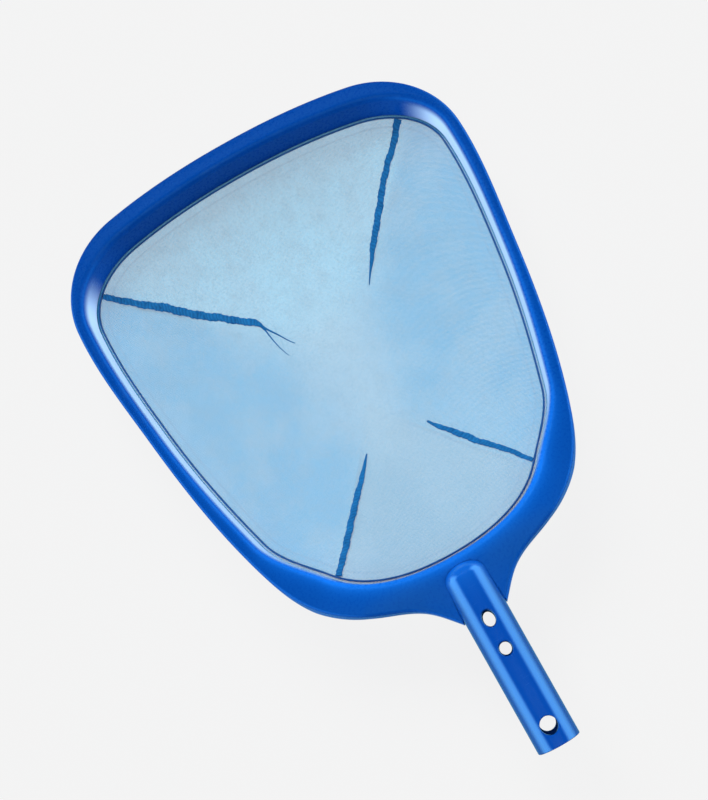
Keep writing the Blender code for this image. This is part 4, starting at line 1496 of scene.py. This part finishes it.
FLOOR_REACH, FLOOR_DROP = 60.0, 0.0006
FLOOR_BASE = (0.05, 0.05, 0.05, 1.0)
FLOOR_GLOW = 0.84
WHITE = (1.0, 1.0, 1.0, 1.0)
AMBIENT = (0.26, 0.27, 0.29, 1.0)
BACKDROP = (0.88, 0.88, 0.885, 1.0)
REFLECTED_DIM = (0.0, 0.012, 0.03, 1.0)
REFLECTED_PANEL = (1.1, 3.1, 4.7, 1.0)
# Place, target, size and watts of the lights.
KEY_LIGHT = ((0.0, 6.0, 6.6), (0.0, 0.0, 0.03), (6.0, 4.0), 680.0)
FILL_LIGHT = ((0.0, -1.4, 3.4), (0.0, 0.0, 0.03), (3.0, 2.0), 60.0)
SIDE_LIGHT = ((0.0, 0.0, 0.05), (2.0, 0.6), 190.0)
SIDE_DISTANCE, SIDE_HEIGHT = 4.0, 0.62
CAMERA_PLACE = (0.0, -0.1628, 0.6103)
CAMERA_TILT = math.radians(17.5)
ROLL_COS, ROLL_SIN = 0.8716, 0.4903
LENS, SENSOR = 40.5, 36.0
SHIFT = (-0.0114, -0.0064)


def add_floor():
    """A wide pale sheet under the bag, lit mostly from inside like a light table."""
    mesh = bpy.data.meshes.new("floor")
    level = cad_box[0].z - FLOOR_DROP
    corners = ((-1, -1), (1, -1), (1, 1), (-1, 1))
    points = [(x * FLOOR_REACH, y * FLOOR_REACH, level) for x, y in corners]
    mesh.from_pydata(points, [], [(0, 1, 2, 3)])
    floor = new_object("floor", mesh)
    material = start_material(
        "floor_pale",
        Roughness=0.9,
        Specular_IOR_Level=0.0,
        Base_Color=FLOOR_BASE,
        Emission_Color=WHITE,
        Emission_Strength=FLOOR_GLOW,
    )[0]
    mesh.materials.append(material)
    floor.visible_glossy = False


def add_softbox(name, place, target, size, energy, only=None):
    """A rectangular light at place facing the target, too soft to mirror, perhaps on one piece."""
    light = bpy.data.lights.new(name, "AREA")
    light.shape = "RECTANGLE"
    light.size, light.size_y = size
    light.energy = energy
    lamp = new_object(name, light)
    place, target = Vector(place), Vector(target)
    aim = (target - place).to_track_quat("-Z", "Y").to_matrix().to_4x4()
    lamp.matrix_world = Matrix.Translation(place) @ aim
    lamp.visible_glossy = False
    if only is not None:
        lit = bpy.data.collections.new(f"{name}_lit")
        lit.objects.link(only)
        lamp.light_linking.receiver_collection = lit


def add_world():
    """An even dim studio whose reflection has a long pale blue panel low on either side."""
    world = bpy.data.worlds.new("studio")
    world.use_nodes = True
    tree = world.node_tree
    way = add_node(tree, "ShaderNodeTexCoord").outputs["Generated"]
    split = add_node(tree, "ShaderNodeSeparateXYZ", {0: way})
    x, y, z = split.outputs
    flat = add_node(tree, "ShaderNodeCombineXYZ", {0: x, 1: y})
    level = add_node(tree, "ShaderNodeVectorMath", {0: flat.outputs[0]}, operation="LENGTH")
    sideways = math_node(tree, "ABSOLUTE", x)
    sideways = math_node(tree, "DIVIDE", sideways, level.outputs["Value"])
    beside = ramp(tree, sideways, 0.45, 0.85)
    above = ramp(tree, z, 0.48, 0.74, 1.0, 0.0)
    below = ramp(tree, z, -0.50, 0.25, 0.10, 1.0)
    panel = math_node(tree, "MULTIPLY", math_node(tree, "MULTIPLY", beside, above), below)
    picture = mix_colour(tree, panel, REFLECTED_DIM, REFLECTED_PANEL)
    rays = add_node(tree, "ShaderNodeLightPath").outputs
    colour = mix_colour(tree, rays["Is Glossy Ray"], AMBIENT, picture)
    colour = mix_colour(tree, rays["Is Camera Ray"], colour, BACKDROP)
    tree.links.new(colour, tree.nodes["Background"].inputs["Color"])
    bpy.context.scene.world = world


def add_camera():
    """A camera over the yoke, tilted towards the blade and rolled: the handle runs down right."""
    level = Vector((1.0, 0.0, 0.0))
    steep = Vector((0.0, math.cos(CAMERA_TILT), math.sin(CAMERA_TILT)))
    right = ROLL_COS * level - ROLL_SIN * steep
    up = ROLL_SIN * level + ROLL_COS * steep
    back = Vector((0.0, -math.sin(CAMERA_TILT), math.cos(CAMERA_TILT)))
    data = bpy.data.cameras.new("camera")
    data.lens, data.sensor_width = LENS, SENSOR
    data.shift_x, data.shift_y = SHIFT
    camera = new_object("camera", data)
    turn = Matrix((right, up, back)).transposed().to_4x4()
    camera.matrix_world = Matrix.Translation(CAMERA_PLACE) @ turn
    bpy.context.scene.camera = camera


add_floor()
add_world()
add_softbox("key", *KEY_LIGHT)
add_softbox("fill", *FILL_LIGHT)
for way in (-1.0, 1.0):
    place = (way * SIDE_DISTANCE, 0.0, SIDE_HEIGHT)
    add_softbox(f"side_{way:+.0f}", place, *SIDE_LIGHT, only=shell)
add_camera()
bpy.context.scene.view_settings.view_transform = "Standard"
